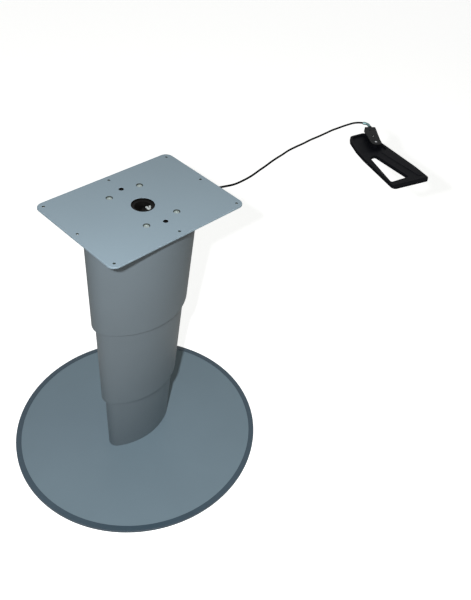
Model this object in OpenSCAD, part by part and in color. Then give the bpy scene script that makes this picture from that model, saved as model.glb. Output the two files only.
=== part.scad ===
// Telescoping pedestal table: a three-stage column on a round floor plate, with the plate that
// a table top is screwed to, a gas spring inside, and its release cable and handle.
// Millimetres, +Z up. The floor is z = 0 and the column's axis is x = y = 0, drawn raised.

/* [Column] */
// Height of the top plate's upper face above the floor, raised
column_h = 710; // [600:5:800]
// Travel of each stage on the one below it, as a share of the raised height
travel_share = 0.2324; // [0.2:0.004:0.24]
// Height of the middle cover's lower edge, as a share of the raised height
middle_rim_share = 0.2535; // [0.245:0.0025:0.275]
// Height of the top cover's lower edge, as a share of the raised height
top_rim_share = 0.5972; // [0.565:0.005:0.615]

/* [Floor plate] */
// Diameter of the floor plate over its edge trim
floor_d = 600; // [500:10:700]
// Thickness of the floor plate
floor_t = 6; // [5:0.5:8]
// Thickness of the edge trim
trim_t = 3; // [2:0.5:4]
// Width of the trim's lip on the plate
trim_lip_w = 13; // [5:0.5:14]
// Thickness of the trim's lip
trim_lip_t = 1; // [0.8:0.2:2]

/* [Covers] */
// Length of the oval bottom cover at the foot
cover_l = 174; // [170:2:200]
// Width of the oval bottom cover at the foot
cover_w = 80; // [78:1:100]
// Step from the outside of one cover to the outside of the next
cover_step = 8.8; // [8:0.2:12]
// Slope of the covers' walls, in degrees
cover_draft = 3; // [2.5:0.25:3.5]
// Wall of each cover
cover_wall = 2.5; // [2:0.25:3]
// Width of the lips that hold the covers
cover_lip_w = 6; // [4:0.5:8]
// Thickness of the lips that hold the covers
cover_lip_t = 3; // [2:0.5:4]

/* [Top plate] */
// Length of the top plate
top_l = 350; // [330:5:420]
// Width of the top plate
top_w = 260; // [240:5:320]
// Thickness of the top plate
top_t = 4; // [3:0.5:6]
// Corner radius of the top plate
top_corner_r = 18; // [6:1:20]
// Diameter of the round hole over the release
access_d = 50; // [42:1:60]
// Diameter of the circle of the four head screws
head_screw_pcd = 146; // [136:2:156]
// Angle of the head screws from the plate's long side, in degrees
head_screw_angle = 57; // [52:1:62]
// Distance of the table-top screw holes from the plate's edges
wood_hole_inset = 14; // [10:1:20]
// Diameter of the table-top screw holes
wood_hole_d = 6; // [4:0.5:8]
// Diameter of the two spare holes beside the access hole
spare_hole_d = 11; // [8:0.5:12]

/* [Posts] */
// Side of the square foot post
foot_post_w = 60; // [60:1:64]
// Wall of the foot post
foot_post_wall = 2.5; // [2:0.25:3]
// Side of the square middle post
middle_post_w = 50; // [49:0.5:51]
// Wall of the middle and the top post
slim_post_wall = 2; // [1.5:0.25:2.5]
// Side of the square top post
top_post_w = 40; // [39:0.5:41]
// Outer corner radius of the posts
post_corner_r = 4; // [3:0.5:5]
// Length of the plastic glides inside the posts
glide_l = 30; // [20:1:40]
// Height of each glide's rim past its post's end
glide_rim_h = 3; // [2:0.5:4]
// Play of each glide on its post, each side
glide_play = 0.15; // [0.1:0.05:0.3]

/* [Gas spring] */
// Outside diameter of the gas spring's cylinder
spring_d = 28; // [26:0.5:30]
// Wall of the cylinder
spring_wall = 2; // [1.5:0.25:2.5]
// Diameter of the gas spring's rod
rod_d = 10; // [8:0.5:11]
// Diameter of the release pin in the rod's end
pin_d = 4; // [3:0.25:4.5]

/* [Belt] */
// Width of the synchronising belt
belt_w = 10; // [8:1:11]
// Thickness of the belt
belt_t = 1.5; // [1:0.25:1.5]
// Distance between the belt's two strands
belt_pitch_d = 18; // [17:0.5:19]
// Distance of the belt's centre line from the column's axis
belt_x = 52; // [51.5:0.5:53]

/* [Handle] */
// Length of the handle lever
lever_l = 240; // [220:5:260]
// Width of the handle lever
lever_w = 111; // [105:1:125]
// Thickness of the handle lever
lever_t = 9; // [7:0.5:11]
// Distance of the wire's hook from the handle's pivot
horn_r = 12; // [11.5:0.25:13]
// Diameter of the handle's pivot pin
pivot_d = 8; // [7:0.25:9]
// Diameter of the cable's sheath
sheath_d = 5; // [4.5:0.25:5]
// Diameter of the inner wire
wire_d = 1.5; // [1:0.25:1.5]

/* [Hidden] */
$fn = 64;

// Clearances and the overrun of all cuts
fit = 0.05;
gap = 0.3;
over = 1;
end_gap = 4;

// Colours
steel_grey = [0.45, 0.50, 0.54];
plate_grey = [0.55, 0.62, 0.66];
trim_grey = [0.29, 0.36, 0.41];
bright = [0.72, 0.74, 0.76];
black = [0.10, 0.10, 0.11];
zinc = [0.43, 0.55, 0.57];
nylon = [0.85, 0.85, 0.82];

// Heights of the stages, from the floor up and from the top plate down
stage_travel = round(column_h * travel_share);
middle_rim_z = round(column_h * middle_rim_share);
top_rim_z = round(column_h * top_rim_share);
foot_flange_t = 8;
foot_top = floor_t + foot_flange_t;
head_flange_t = 8;
head_room = 27;
flange_t = 5;
head_top = column_h - top_t - cover_lip_t;
head_z = head_top - head_flange_t;
middle_top = head_z - stage_travel - end_gap - head_room;
middle_flange_top = middle_top - glide_rim_h;
middle_flange_z = middle_flange_top - flange_t;
foot_post_end = middle_flange_z - stage_travel - end_gap;
foot_post_top = foot_post_end - glide_rim_h;
bottom_cover_top = foot_post_top - over;
middle_foot = foot_top + end_gap + stage_travel;
middle_post_z = middle_foot + glide_rim_h;
seat_t = 12;
seat_top = middle_post_z + seat_t;
top_foot = seat_top + end_gap + stage_travel;
top_post_z = top_foot + glide_rim_h;

// Covers: half axes at a height, for stage 0 at the bottom, 1 in the middle and 2 at the top
foot_lip_t = 2.5;
oval_end_share = 0.5;
side_steps = 20;
end_steps = 14;
cover_ends = [floor_t, middle_rim_z, top_rim_z];
function cover_half(stage, z) =
    [cover_l / 2, cover_w / 2] + (tan(cover_draft) * (z - floor_t) + stage * cover_step) * [1, 1];
function oval_half(a, b, end_r, side_r, side_angle) = concat(
    [for (i = [0 : side_steps - 1]) let (t = side_angle * (2 * i / side_steps - 1))
        [side_r * sin(t), b - side_r + side_r * cos(t)]],
    [for (i = [0 : end_steps - 1]) let (t = side_angle + (180 - 2 * side_angle) * i / end_steps)
        [a - end_r + end_r * sin(t), end_r * cos(t)]]);
function oval(a, b) = let (
        end_r = oval_end_share * b,
        side_r = (a * a + b * b - 2 * a * end_r) / (2 * (b - end_r)),
        half = oval_half(a, b, end_r, side_r, atan2(a - end_r, side_r - b)))
    concat(half, [for (p = half) -p]);
function section(stage, inset, z) = let (
        low = cover_half(stage, cover_ends[stage]) - [inset, inset],
        here = cover_half(stage, z) - [inset, inset])
    [for (p = oval(low.x, low.y)) [p.x * here.x / low.x, p.y * here.y / low.y]];

// A solid of the cover's tapered outline, drawn in by inset
module cover_solid(stage, inset, z0, z1) {
    low = cover_half(stage, z0) - [inset, inset];
    high = cover_half(stage, z1) - [inset, inset];
    translate([0, 0, z0])
        linear_extrude(height = z1 - z0, scale = [high.x / low.x, high.y / low.y], slices = 1, segments = 0)
            polygon(section(stage, inset, z0));
}

// A straight plate that fits inside a cover's lower end of the range it fills
module cover_disc(stage, inset, z0, z1) {
    translate([0, 0, z0]) linear_extrude(height = z1 - z0) polygon(section(stage, inset, z0));
}

// A polygon with rounded corners, each point with its own radius
corner_steps = 8;
function unit(v) = v / norm(v);
function corner(before, p, after, r) = let (
        a = unit(before - p),
        b = unit(after - p),
        half = acos(a * b) / 2,
        centre = p + unit(a + b) * r / sin(half),
        start = p + a * r / tan(half) - centre,
        stop = p + b * r / tan(half) - centre,
        from = atan2(start.y, start.x),
        turn = atan2(start.x * stop.y - start.y * stop.x, start * stop))
    [for (i = [0 : corner_steps]) let (t = from + turn * i / corner_steps)
        centre + r * [cos(t), sin(t)]];
function rounded(points, radii) = let (n = len(points))
    [for (i = [0 : n - 1]) each corner(points[(i + n - 1) % n], points[i], points[(i + 1) % n], radii[i])];

module rounded_rectangle(l, w, r) {
    square([l, w - 2 * r], center = true);
    square([l - 2 * r, w], center = true);
    for (x = [-1, 1], y = [-1, 1]) translate([x * (l / 2 - r), y * (w / 2 - r)]) circle(r);
}

// A square tube from its outer and inner side, standing on z
module square_tube(outer, inner, r, z, h) {
    translate([0, 0, z]) linear_extrude(height = h) difference() {
        rounded_rectangle(outer, outer, r);
        rounded_rectangle(inner, inner, max(r - (outer - inner) / 2, over / 2));
    }
}

// A rod along +X from x0 to x1
module rod_x(x0, x1, d) {
    translate([x0, 0, 0]) rotate([0, 90, 0]) cylinder(h = x1 - x0, d = d);
}

// A rod along +Y from y0 to y1
module rod_y(y0, y1, d) {
    translate([0, y0, 0]) rotate([-90, 0, 0]) cylinder(h = y1 - y0, d = d);
}

// Countersunk screws with a hexagon socket: the head's face is at z = 0, the shank points down
screw_d = 8;
screw_head_d = 15;
screw_cone_h = (screw_head_d - screw_d) / 2;
socket_w = 5;
socket_h = 2.4;
module countersunk_shape(l, d, head_d, extra) {
    translate([0, 0, -l]) cylinder(h = l, d = d + 2 * extra);
    translate([0, 0, -screw_cone_h]) cylinder(h = screw_cone_h, d1 = d + 2 * extra, d2 = head_d + 2 * extra);
}
module countersunk_screw(l) {
    difference() {
        countersunk_shape(l, screw_d, screw_head_d, 0);
        translate([0, 0, -socket_h]) cylinder(h = socket_h + over, d = socket_w / cos(30), $fn = 6);
    }
}

// Floor plate and its edge trim
foot_screw_x_share = 0.26;
foot_screw_y_share = 0.21;
foot_screw_x = cover_l * foot_screw_x_share;
foot_screw_y = cover_w * foot_screw_y_share;
foot_screw_places = [for (x = [-1, 1], y = [-1, 1]) [x * foot_screw_x, y * foot_screw_y]];
foot_screw_l = foot_top - over;
module base_plate() {
    color(steel_grey) difference() {
        cylinder(h = floor_t, d = floor_d - 2 * trim_t, $fn = 180);
        for (p = foot_screw_places) translate(p) mirror([0, 0, 1])
            countersunk_shape(floor_t + over, screw_d, screw_head_d, fit);
    }
}
module base_edge_trim() {
    r = floor_d / 2;
    h = floor_t + trim_lip_t;
    lip_in = r - trim_lip_w;
    wall_in = r - trim_t;
    color(trim_grey) rotate_extrude($fn = 180)
        polygon([[wall_in, 0], [r, 0], [r, h], [lip_in, h], [lip_in, floor_t], [wall_in, floor_t]]);
}

// Foot: flange, screws, post, collar and cover
module foot_flange() {
    rebate_top = floor_t + foot_lip_t + gap;
    color(steel_grey) difference() {
        union() {
            cover_disc(0, cover_wall + cover_lip_w + gap, floor_t, rebate_top);
            cover_disc(0, cover_wall + gap, rebate_top, foot_top);
        }
        for (p = foot_screw_places) translate([p.x, p.y, floor_t - over])
            cylinder(h = foot_flange_t + 2 * over, d = screw_d + 2 * fit);
    }
}
module foot_screws() {
    color(bright) for (p = foot_screw_places) translate(p) mirror([0, 0, 1])
        countersunk_screw(foot_screw_l);
}
foot_post_in = foot_post_w - 2 * foot_post_wall;
module base_post() {
    color(steel_grey) square_tube(foot_post_w, foot_post_in, post_corner_r, foot_top, foot_post_top - foot_top);
}
module base_post_collar() {
    bore = middle_post_w + 2 * glide_play;
    color(nylon) {
        square_tube(foot_post_in - 2 * fit, bore, post_corner_r, foot_post_top - glide_l, glide_l);
        square_tube(foot_post_w, bore, post_corner_r, foot_post_top, glide_rim_h);
    }
}
module bottom_cover() {
    lip_top = floor_t + foot_lip_t;
    color(steel_grey) difference() {
        cover_solid(0, 0, floor_t, bottom_cover_top);
        cover_solid(0, cover_wall, lip_top, bottom_cover_top + over);
        cover_solid(0, cover_wall + cover_lip_w, floor_t - over, lip_top + over);
    }
}

// Belt: a flat loop over two pulleys, clamped to the foot on one strand and to the head on the other
belt_in_r = (belt_pitch_d - belt_t) / 2;
belt_out_r = (belt_pitch_d + belt_t) / 2;
pulley_r = belt_in_r - 2 * fit;
pulley_rim_w = 1;
pulley_w = belt_w + 2 * pulley_rim_w;
pulley_rim_r = belt_out_r - gap / 2;
upper_pulley_drop = 16;
lower_pulley_rise = 9;
upper_pulley_z = middle_flange_z - upper_pulley_drop;
lower_pulley_z = middle_post_z + lower_pulley_rise;
axle_d = 6;
axle_head_d = 9;
axle_head_t = 1.7;
rail_t = 3;
rail_clear = 5.5;
rail_y = pulley_w / 2 + rail_clear;
rail_w = 16;
clamp_h = 16;
clamp_wall = 3;
clamp_side = 5;
clamp_w = belt_w + 2 * clamp_side;
foot_clamp_drop = 44;
head_clamp_drop = 46;
foot_clamp_z = foot_post_top - foot_clamp_drop;
head_clamp_z = middle_flange_z - head_clamp_drop;
strand_near = belt_x - belt_pitch_d / 2;
strand_far = belt_x + belt_pitch_d / 2;
slot_t = belt_t + 2 * gap;
slot_w = belt_w + 2 * gap;
module strand_slot(x, z) {
    translate([x - slot_t / 2, -slot_w / 2, z - clamp_h / 2 - over]) cube([slot_t, slot_w, clamp_h + 2 * over]);
}
module base_belt_clamp() {
    x0 = foot_post_w / 2;
    x1 = strand_near + slot_t / 2 + clamp_wall;
    color(bright) difference() {
        translate([x0, -clamp_w / 2, foot_clamp_z - clamp_h / 2]) cube([x1 - x0, clamp_w, clamp_h]);
        strand_slot(strand_near, foot_clamp_z);
    }
}

// Middle stage: post, glides, flange, cover, and the rail that carries the belt
middle_post_in = middle_post_w - 2 * slim_post_wall;
top_post_in = top_post_w - 2 * slim_post_wall;
arm_gap = 1;
arm_t = 3;
arm_side = 3;
arm_hole_play = 1;
arm_x = strand_far + belt_t / 2 + arm_gap;
arm_w = belt_w + 2 * arm_side;
window_gap = 1.5;
module middle_post() {
    color(bright)
        square_tube(middle_post_w, middle_post_in, post_corner_r, middle_post_z, middle_flange_top - middle_post_z);
}
module middle_foot_glide() {
    outer = foot_post_in - 2 * glide_play;
    color(nylon) {
        square_tube(outer, middle_post_in, post_corner_r, middle_foot, glide_rim_h);
        square_tube(outer, middle_post_w + 2 * fit, post_corner_r, middle_post_z, glide_l);
    }
}
module middle_flange() {
    window_x = arm_x - window_gap;
    window_l = arm_t + 2 * window_gap;
    window_w = arm_w + 2 * window_gap;
    color(steel_grey) difference() {
        cover_disc(1, cover_wall + gap, middle_flange_z, middle_flange_top);
        translate([0, 0, middle_flange_z - over]) linear_extrude(height = flange_t + 2 * over)
            rounded_rectangle(middle_post_w + 2 * fit, middle_post_w + 2 * fit, post_corner_r);
        translate([window_x, -window_w / 2, middle_flange_z - over]) cube([window_l, window_w, flange_t + 2 * over]);
    }
}
module middle_post_collar() {
    bore = top_post_w + 2 * glide_play;
    color(nylon) {
        square_tube(middle_post_in - 2 * fit, bore, post_corner_r, middle_flange_top - glide_l, glide_l);
        square_tube(middle_post_w + 2 * glide_rim_h, bore, post_corner_r, middle_flange_top, glide_rim_h);
    }
}
module middle_cover() {
    lip_z = middle_flange_top;
    color(steel_grey) difference() {
        cover_solid(1, 0, middle_rim_z, lip_z + cover_lip_t);
        cover_solid(1, cover_wall, middle_rim_z - over, lip_z);
        cover_solid(1, cover_wall + cover_lip_w, lip_z - over, lip_z + cover_lip_t + over);
    }
}
module belt_rail() {
    z0 = lower_pulley_z - belt_out_r;
    color(steel_grey) difference() {
        translate([belt_x - rail_w / 2, rail_y, z0]) cube([rail_w, rail_t, middle_flange_z - z0]);
        for (z = [lower_pulley_z, upper_pulley_z]) translate([belt_x, 0, z])
            rod_y(rail_y - over, rail_y + rail_t + over, axle_d + 2 * fit);
    }
}
module pulley_axles() {
    seat_y = pulley_w / 2 + gap;
    color(bright) for (z = [lower_pulley_z, upper_pulley_z]) translate([belt_x, 0, z]) {
        rod_y(-seat_y, rail_y + rail_t, axle_d);
        rod_y(seat_y, rail_y, axle_head_d);
        rod_y(-seat_y - axle_head_t, -seat_y, axle_head_d);
    }
}
module belt_loop(r) {
    for (z = [lower_pulley_z, upper_pulley_z]) translate([belt_x, z]) circle(r);
    translate([belt_x - r, lower_pulley_z]) square([2 * r, upper_pulley_z - lower_pulley_z]);
}
module sync_belt() {
    color(black) rotate([90, 0, 0]) translate([0, 0, -belt_w / 2]) linear_extrude(height = belt_w) difference() {
        belt_loop(belt_out_r);
        belt_loop(belt_in_r);
    }
}
module pulley(z) {
    rim_y = belt_w / 2 + gap;
    color(nylon) translate([belt_x, 0, z]) difference() {
        union() {
            rod_y(-pulley_w / 2, pulley_w / 2, 2 * pulley_r);
            rod_y(-pulley_w / 2, -rim_y, 2 * pulley_rim_r);
            rod_y(rim_y, pulley_w / 2, 2 * pulley_rim_r);
        }
        rod_y(-pulley_w / 2 - over, pulley_w / 2 + over, axle_d + 2 * fit);
    }
}
module upper_pulley() {
    pulley(upper_pulley_z);
}
module lower_pulley() {
    pulley(lower_pulley_z);
}

// Gas spring: a cylinder on its seat in the middle stage, a rod that the head hangs on
stud_d = 10;
nut_w = 17;
nut_h = 5;
nut_clear = 1;
nut_recess = nut_h + nut_clear;
spring_bottom_t = 4;
spring_cap_t = 4;
spring_drop = 14;
spring_top = middle_flange_top - spring_drop;
rod_drop = 27;
rod_top = head_z - rod_drop;
pin_bore_l = 13;
pin_bore_z = rod_top - pin_bore_l;
piston_h = 10;
piston_stop = 10;
piston_z = spring_top - spring_cap_t - piston_h - piston_stop;
module spring_seat() {
    color(steel_grey) difference() {
        translate([0, 0, middle_post_z]) linear_extrude(height = seat_t)
            rounded_rectangle(middle_post_in - 2 * fit, middle_post_in - 2 * fit, post_corner_r - slim_post_wall);
        translate([0, 0, middle_post_z - over]) cylinder(h = seat_t + 2 * over, d = stud_d + 2 * fit);
        translate([0, 0, middle_post_z - over]) cylinder(h = nut_recess + over, d = 2 * nut_w / sqrt(3) + 2 * gap);
    }
}
module gas_spring_cylinder() {
    color(black) difference() {
        union() {
            translate([0, 0, seat_top]) cylinder(h = spring_top - seat_top, d = spring_d);
            translate([0, 0, middle_post_z + gap]) cylinder(h = seat_t, d = stud_d);
        }
        translate([0, 0, seat_top + spring_bottom_t])
            cylinder(h = spring_top - spring_cap_t - seat_top - spring_bottom_t, d = spring_d - 2 * spring_wall);
        translate([0, 0, spring_top - spring_cap_t - over])
            cylinder(h = spring_cap_t + 2 * over, d = rod_d + 2 * fit);
    }
}
module cylinder_nut() {
    color(bright) translate([0, 0, middle_post_z + nut_recess - nut_h]) difference() {
        cylinder(h = nut_h, d = 2 * nut_w / sqrt(3), $fn = 6);
        translate([0, 0, -over]) cylinder(h = nut_h + 2 * over, d = stud_d + 2 * fit);
    }
}
module gas_piston() {
    color(black) translate([0, 0, piston_z]) difference() {
        cylinder(h = piston_h, d = spring_d - 2 * spring_wall - 4 * fit);
        translate([0, 0, -over]) cylinder(h = piston_h + 2 * over, d = rod_d + 2 * fit);
    }
}
module gas_spring_rod() {
    color(bright) difference() {
        translate([0, 0, piston_z]) cylinder(h = rod_top - piston_z, d = rod_d);
        translate([0, 0, pin_bore_z]) cylinder(h = rod_top - pin_bore_z + over, d = pin_d + 4 * fit);
    }
}

// Release: the head block on the rod, its lever, and the pin that it presses
lever_x = 8;
lever_pin_drop = 5;
lever_z = head_z - lever_pin_drop;
release_arm = 14;
release_boss_r = 5;
release_t = 8;
nose_r = 3;
nose_rise = 1.3;
fork_w = 9;
nipple_d = 4;
nipple_play = 0.2;
nipple_slot = nipple_d + 2 * nipple_play;
cable_z = lever_z - release_arm;
fork_tail = 3;
fork_low = cable_z - fork_tail;
pin_top = lever_z + nose_rise - nose_r - gap;
pin_sink = 4;
pin_low = rod_top - pin_sink;
block_w = top_post_in - 2 * gap;
rod_hold = 18;
block_rise = 16;
block_z = rod_top - rod_hold;
block_top = rod_top + block_rise;
ear_t = 4.5;
ear_in = release_t / 2 + gap;
ear_top = head_z - gap;
lever_pin_d = 4;
cross_x = 12;
cross_d = 5;
cross_head_d = 9;
cross_head_t = 2.5;
cross_in = 8;
module release_head() {
    color(bright) difference() {
        union() {
            translate([0, 0, block_z]) linear_extrude(height = block_top - block_z)
                rounded_rectangle(block_w, block_w, post_corner_r - slim_post_wall);
            for (y = [ear_in, -ear_in - ear_t]) translate([lever_x, y, lever_z]) {
                rod_y(0, ear_t, 2 * (ear_top - lever_z));
                translate([lever_z - ear_top, 0, block_top - over - lever_z])
                    cube([2 * (ear_top - lever_z), ear_t, lever_z - block_top + over]);
            }
        }
        translate([0, 0, block_z - over]) cylinder(h = rod_top - block_z + over, d = rod_d + 2 * fit);
        translate([0, 0, rod_top - over]) cylinder(h = block_top - rod_top + 2 * over, d = pin_d + 4 * fit);
        translate([lever_x - release_boss_r - gap / 2, -ear_in, rod_top])
            cube([block_w, 2 * ear_in, block_top - rod_top + over]);
        translate([lever_x, 0, lever_z])
            rod_y(-ear_in - ear_t - over, ear_in + ear_t + over, lever_pin_d + 2 * fit);
        for (x = [-cross_x, cross_x], y = [-1, 1]) translate([x, 0, cable_z])
            rod_y(y > 0 ? cross_in : -block_w, y > 0 ? block_w : -cross_in, cross_d + 2 * fit);
    }
}
module release_head_screws() {
    head_y = top_post_w / 2;
    color(bright) for (x = [-cross_x, cross_x], turn = [0, 180]) rotate(turn) translate([x, 0, cable_z]) {
        rod_y(cross_in + over / 2, head_y, cross_d);
        rod_y(head_y, head_y + cross_head_t, cross_head_d);
    }
}
module release_lever_pin() {
    color(bright) translate([lever_x, 0, lever_z]) rod_y(-ear_in - ear_t, ear_in + ear_t, lever_pin_d);
}
module release_pin() {
    color(bright) translate([0, 0, pin_low]) cylinder(h = pin_top - pin_low, d = pin_d);
}
module release_lever() {
    slit = wire_d + 3 * gap;
    color(bright) difference() {
        translate([lever_x, release_t / 2, lever_z]) rotate([90, 0, 0]) linear_extrude(height = release_t) {
            circle(release_boss_r);
            translate([-lever_x, nose_rise]) circle(nose_r);
            polygon([[-lever_x, nose_rise + nose_r], [-lever_x, nose_rise - nose_r],
                [pin_d / 2 + 2 * gap - lever_x, nose_rise - nose_r], [0, -release_boss_r], [0, release_boss_r]]);
            translate([-fork_w / 2, fork_low - lever_z]) square([fork_w, lever_z - fork_low]);
        }
        translate([lever_x, 0, lever_z]) rod_y(-release_t, release_t, lever_pin_d + 2 * fit);
        translate([lever_x, 0, cable_z]) rod_y(-release_t, release_t, nipple_slot);
        translate([lever_x - nipple_slot / 2, -release_t, fork_low - over])
            cube([nipple_slot, 2 * release_t, cable_z - fork_low + over]);
        translate([lever_x, -slit / 2, fork_low - over])
            cube([fork_w, slit, cable_z - fork_low + over + nipple_slot / 2]);
    }
}
module head_wire_end() {
    color(bright) translate([lever_x, 0, cable_z]) {
        rod_y(-release_t / 2, release_t / 2, nipple_d);
        rod_x(0, stop_floor - lever_x - stage_pull - gap, wire_d);
    }
}

// Cable stop on the head post: the sheath ends in its counterbore
stage_pull = 4.2;
stop_flange_d = 16;
stop_flange_t = 2;
stop_d = 10;
stop_l = 14;
stop_x = top_post_w / 2;
stop_floor_l = 10;
stop_floor = stop_x + stop_floor_l;
wire_play = 0.5;
wire_bore_d = wire_d + 2 * wire_play;
module head_cable_stop() {
    color(bright) translate([0, 0, cable_z]) difference() {
        union() {
            rod_x(stop_x, stop_x + stop_flange_t, stop_flange_d);
            rod_x(stop_x, stop_x + stop_flange_t + stop_l, stop_d);
        }
        rod_x(stop_x - over, stop_floor + over, wire_bore_d);
        rod_x(stop_floor, stop_x + stop_flange_t + stop_l + over, sheath_d + 4 * fit);
    }
}

// Top stage: post, glide, flange, cover, plate and screws
wall_hole_d = 6;
grommet_hole_d = 12;
module top_post() {
    color(bright) difference() {
        square_tube(top_post_w, top_post_in, post_corner_r, top_post_z, head_z - top_post_z);
        translate([0, 0, cable_z]) rod_x(top_post_in / 2 - over, top_post_w / 2 + over, wall_hole_d);
        for (x = [-cross_x, cross_x]) translate([x, 0, cable_z])
            rod_y(-top_post_w / 2 - over, top_post_w / 2 + over, cross_d + 2 * fit);
    }
}
module top_foot_glide() {
    outer = middle_post_in - 2 * glide_play;
    color(nylon) {
        square_tube(outer, top_post_in, post_corner_r, top_foot, glide_rim_h);
        square_tube(outer, top_post_w + 2 * fit, post_corner_r, top_post_z, glide_l);
    }
}
module top_cover() {
    color(steel_grey) difference() {
        cover_solid(2, 0, top_rim_z, head_top + cover_lip_t);
        cover_solid(2, cover_wall, top_rim_z - over, head_top);
        cover_solid(2, cover_wall + cover_lip_w, head_top - over, head_top + cover_lip_t + over);
        translate([0, 0, cable_z]) rod_x(cover_l / 2, cover_l, grommet_hole_d);
    }
}
head_screw_places = [for (a = [head_screw_angle, -head_screw_angle], turn = [0, 180])
    head_screw_pcd / 2 * [cos(a + turn), sin(a + turn)]];
head_screw_l = 15;
spare_places = [for (y = [-1, 1]) [0, y * head_screw_pcd / 2]];
head_bore_d = top_post_in;
module head_flange() {
    pad_inset = cover_wall + cover_lip_w + gap;
    color(steel_grey) difference() {
        union() {
            cover_disc(2, cover_wall + gap, head_z, head_top);
            cover_disc(2, pad_inset, head_top, head_top + cover_lip_t);
        }
        translate([0, 0, head_z - over]) cylinder(h = head_flange_t + cover_lip_t + 2 * over, d = head_bore_d);
        for (p = head_screw_places) translate([p.x, p.y, head_z - over])
            cylinder(h = head_flange_t + cover_lip_t + 2 * over, d = screw_d + 2 * fit);
        for (p = spare_places) translate([p.x, p.y, head_z - over])
            cylinder(h = head_flange_t + cover_lip_t + 2 * over, d = spare_hole_d);
    }
}
wood_x = top_l / 2 - wood_hole_inset;
wood_y = top_w / 2 - wood_hole_inset;
module top_plate() {
    z0 = column_h - top_t;
    color(plate_grey) difference() {
        translate([0, 0, z0]) linear_extrude(height = top_t) rounded_rectangle(top_l, top_w, top_corner_r);
        translate([0, 0, z0 - over]) cylinder(h = top_t + 2 * over, d = access_d);
        for (p = head_screw_places) translate([p.x, p.y, column_h])
            countersunk_shape(top_t + over, screw_d, screw_head_d, fit);
        for (p = spare_places) translate([p.x, p.y, z0 - over]) cylinder(h = top_t + 2 * over, d = spare_hole_d);
        for (x = [-1, 0, 1], y = [-1, 0, 1]) if (x != 0 || y != 0)
            translate([x * wood_x, y * wood_y, z0 - over]) cylinder(h = top_t + 2 * over, d = wood_hole_d);
    }
}
module head_screws() {
    color(plate_grey) for (p = head_screw_places) translate([p.x, p.y, column_h]) countersunk_screw(head_screw_l);
}

// Arm and clamp that carry the head on the belt's far strand; the cable goes through the arm
module belt_arm() {
    z0 = head_clamp_z - clamp_h / 2;
    color(bright) difference() {
        translate([arm_x, -arm_w / 2, z0]) cube([arm_t, arm_w, head_z - z0]);
        translate([0, 0, cable_z]) rod_x(arm_x - over, arm_x + arm_t + over, sheath_d + 2 * arm_hole_play);
    }
}
module top_belt_clamp() {
    x0 = strand_far - slot_t / 2 - clamp_wall;
    z0 = head_clamp_z - clamp_h / 2;
    side = (arm_w - slot_w) / 2;
    color(bright) {
        translate([x0, -arm_w / 2, z0]) cube([clamp_wall, arm_w, clamp_h]);
        for (y = [-arm_w / 2, slot_w / 2]) translate([x0, y, z0]) cube([arm_x - x0, side, clamp_h]);
    }
}

// Grommet where the cable leaves the top cover
grommet_d = 18;
grommet_flange_t = 2.5;
module cable_grommet() {
    outside = cover_half(2, cable_z + grommet_d / 2).x;
    inside = cover_half(2, cable_z - grommet_d / 2).x - cover_wall;
    end_r = oval_end_share * (cover_half(2, cable_z).y - cover_wall);
    sag = end_r - sqrt(end_r * end_r - grommet_d * grommet_d / 4);
    in_x = inside - sag;
    color(black) translate([0, 0, cable_z]) difference() {
        union() {
            rod_x(in_x - grommet_flange_t, in_x, grommet_d);
            rod_x(outside, outside + grommet_flange_t, grommet_d);
            rod_x(in_x - over, outside + over, grommet_hole_d - 2 * fit);
        }
        rod_x(in_x - grommet_flange_t - over, outside + grommet_flange_t + over, sheath_d + 4 * fit);
    }
}

// Handle: where its pivot hangs, and the directions of its bracket and of its lever
pivot_x = 636;
pivot_y = -139;
bracket_turn = -125;
lever_turn = -107;
bracket_t = 3;
bracket_z = column_h - bracket_t;
hook_drop = 7.5;
hook_z = column_h - hook_drop;
lever_drop = 12;
lever_top = column_h - lever_drop;
lever_low = lever_top - lever_t;
module in_bracket() {
    translate([pivot_x, pivot_y]) rotate(bracket_turn) children();
}
module in_lever() {
    translate([pivot_x, pivot_y]) rotate(lever_turn) children();
}
tab_reach = 75;
tab_t = 3;
tab_w = 24;
tab_h = 18;
tab_s = -tab_reach;
tab_low = column_h - tab_h;
bracket_outline_shares = [[-1, -0.292], [-1, 0.912], [-0.168, 0.625], [0.187, 0.583], [0.187, -0.583],
    [-0.75, -0.625]];
bracket_radius_shares = [0.125, 0.125, 0.33, 0.54, 0.54, 0.5];
bracket_points = [for (p = bracket_outline_shares) [p.x * tab_reach, p.y * tab_w]];
stub_d = 6;
bracket_screw_reach = 44;
bracket_screw_pitch = 28;
bracket_screw_w = 2;
bracket_screw_places = [for (side = [-1, 1])
    [side * bracket_screw_pitch / 2 - bracket_screw_reach, bracket_screw_w]];
bracket_hole_d = 4.5;
bracket_head_d = 8.5;
bracket_cone_h = (bracket_head_d - bracket_hole_d) / 2;
module handle_bracket() {
    color(black) in_bracket() difference() {
        union() {
            translate([0, 0, bracket_z]) linear_extrude(height = bracket_t)
                polygon(rounded(bracket_points, tab_w * bracket_radius_shares));
            translate([tab_s, 0, tab_low]) cube([tab_t, tab_w - tab_t, column_h - tab_low - over]);
        }
        translate([0, 0, bracket_z - over]) cylinder(h = bracket_t + 2 * over, d = stub_d + 2 * fit);
        translate([0, horn_r, hook_z]) rod_x(tab_s - over, tab_s + tab_t + over, adjuster_d + 2 * fit);
        for (p = bracket_screw_places) translate([p.x, p.y, bracket_z]) {
            translate([0, 0, -over]) cylinder(h = bracket_t + 2 * over, d = bracket_hole_d);
            translate([0, 0, -fit]) cylinder(h = bracket_cone_h, d1 = bracket_head_d, d2 = bracket_hole_d);
        }
    }
}

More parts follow.
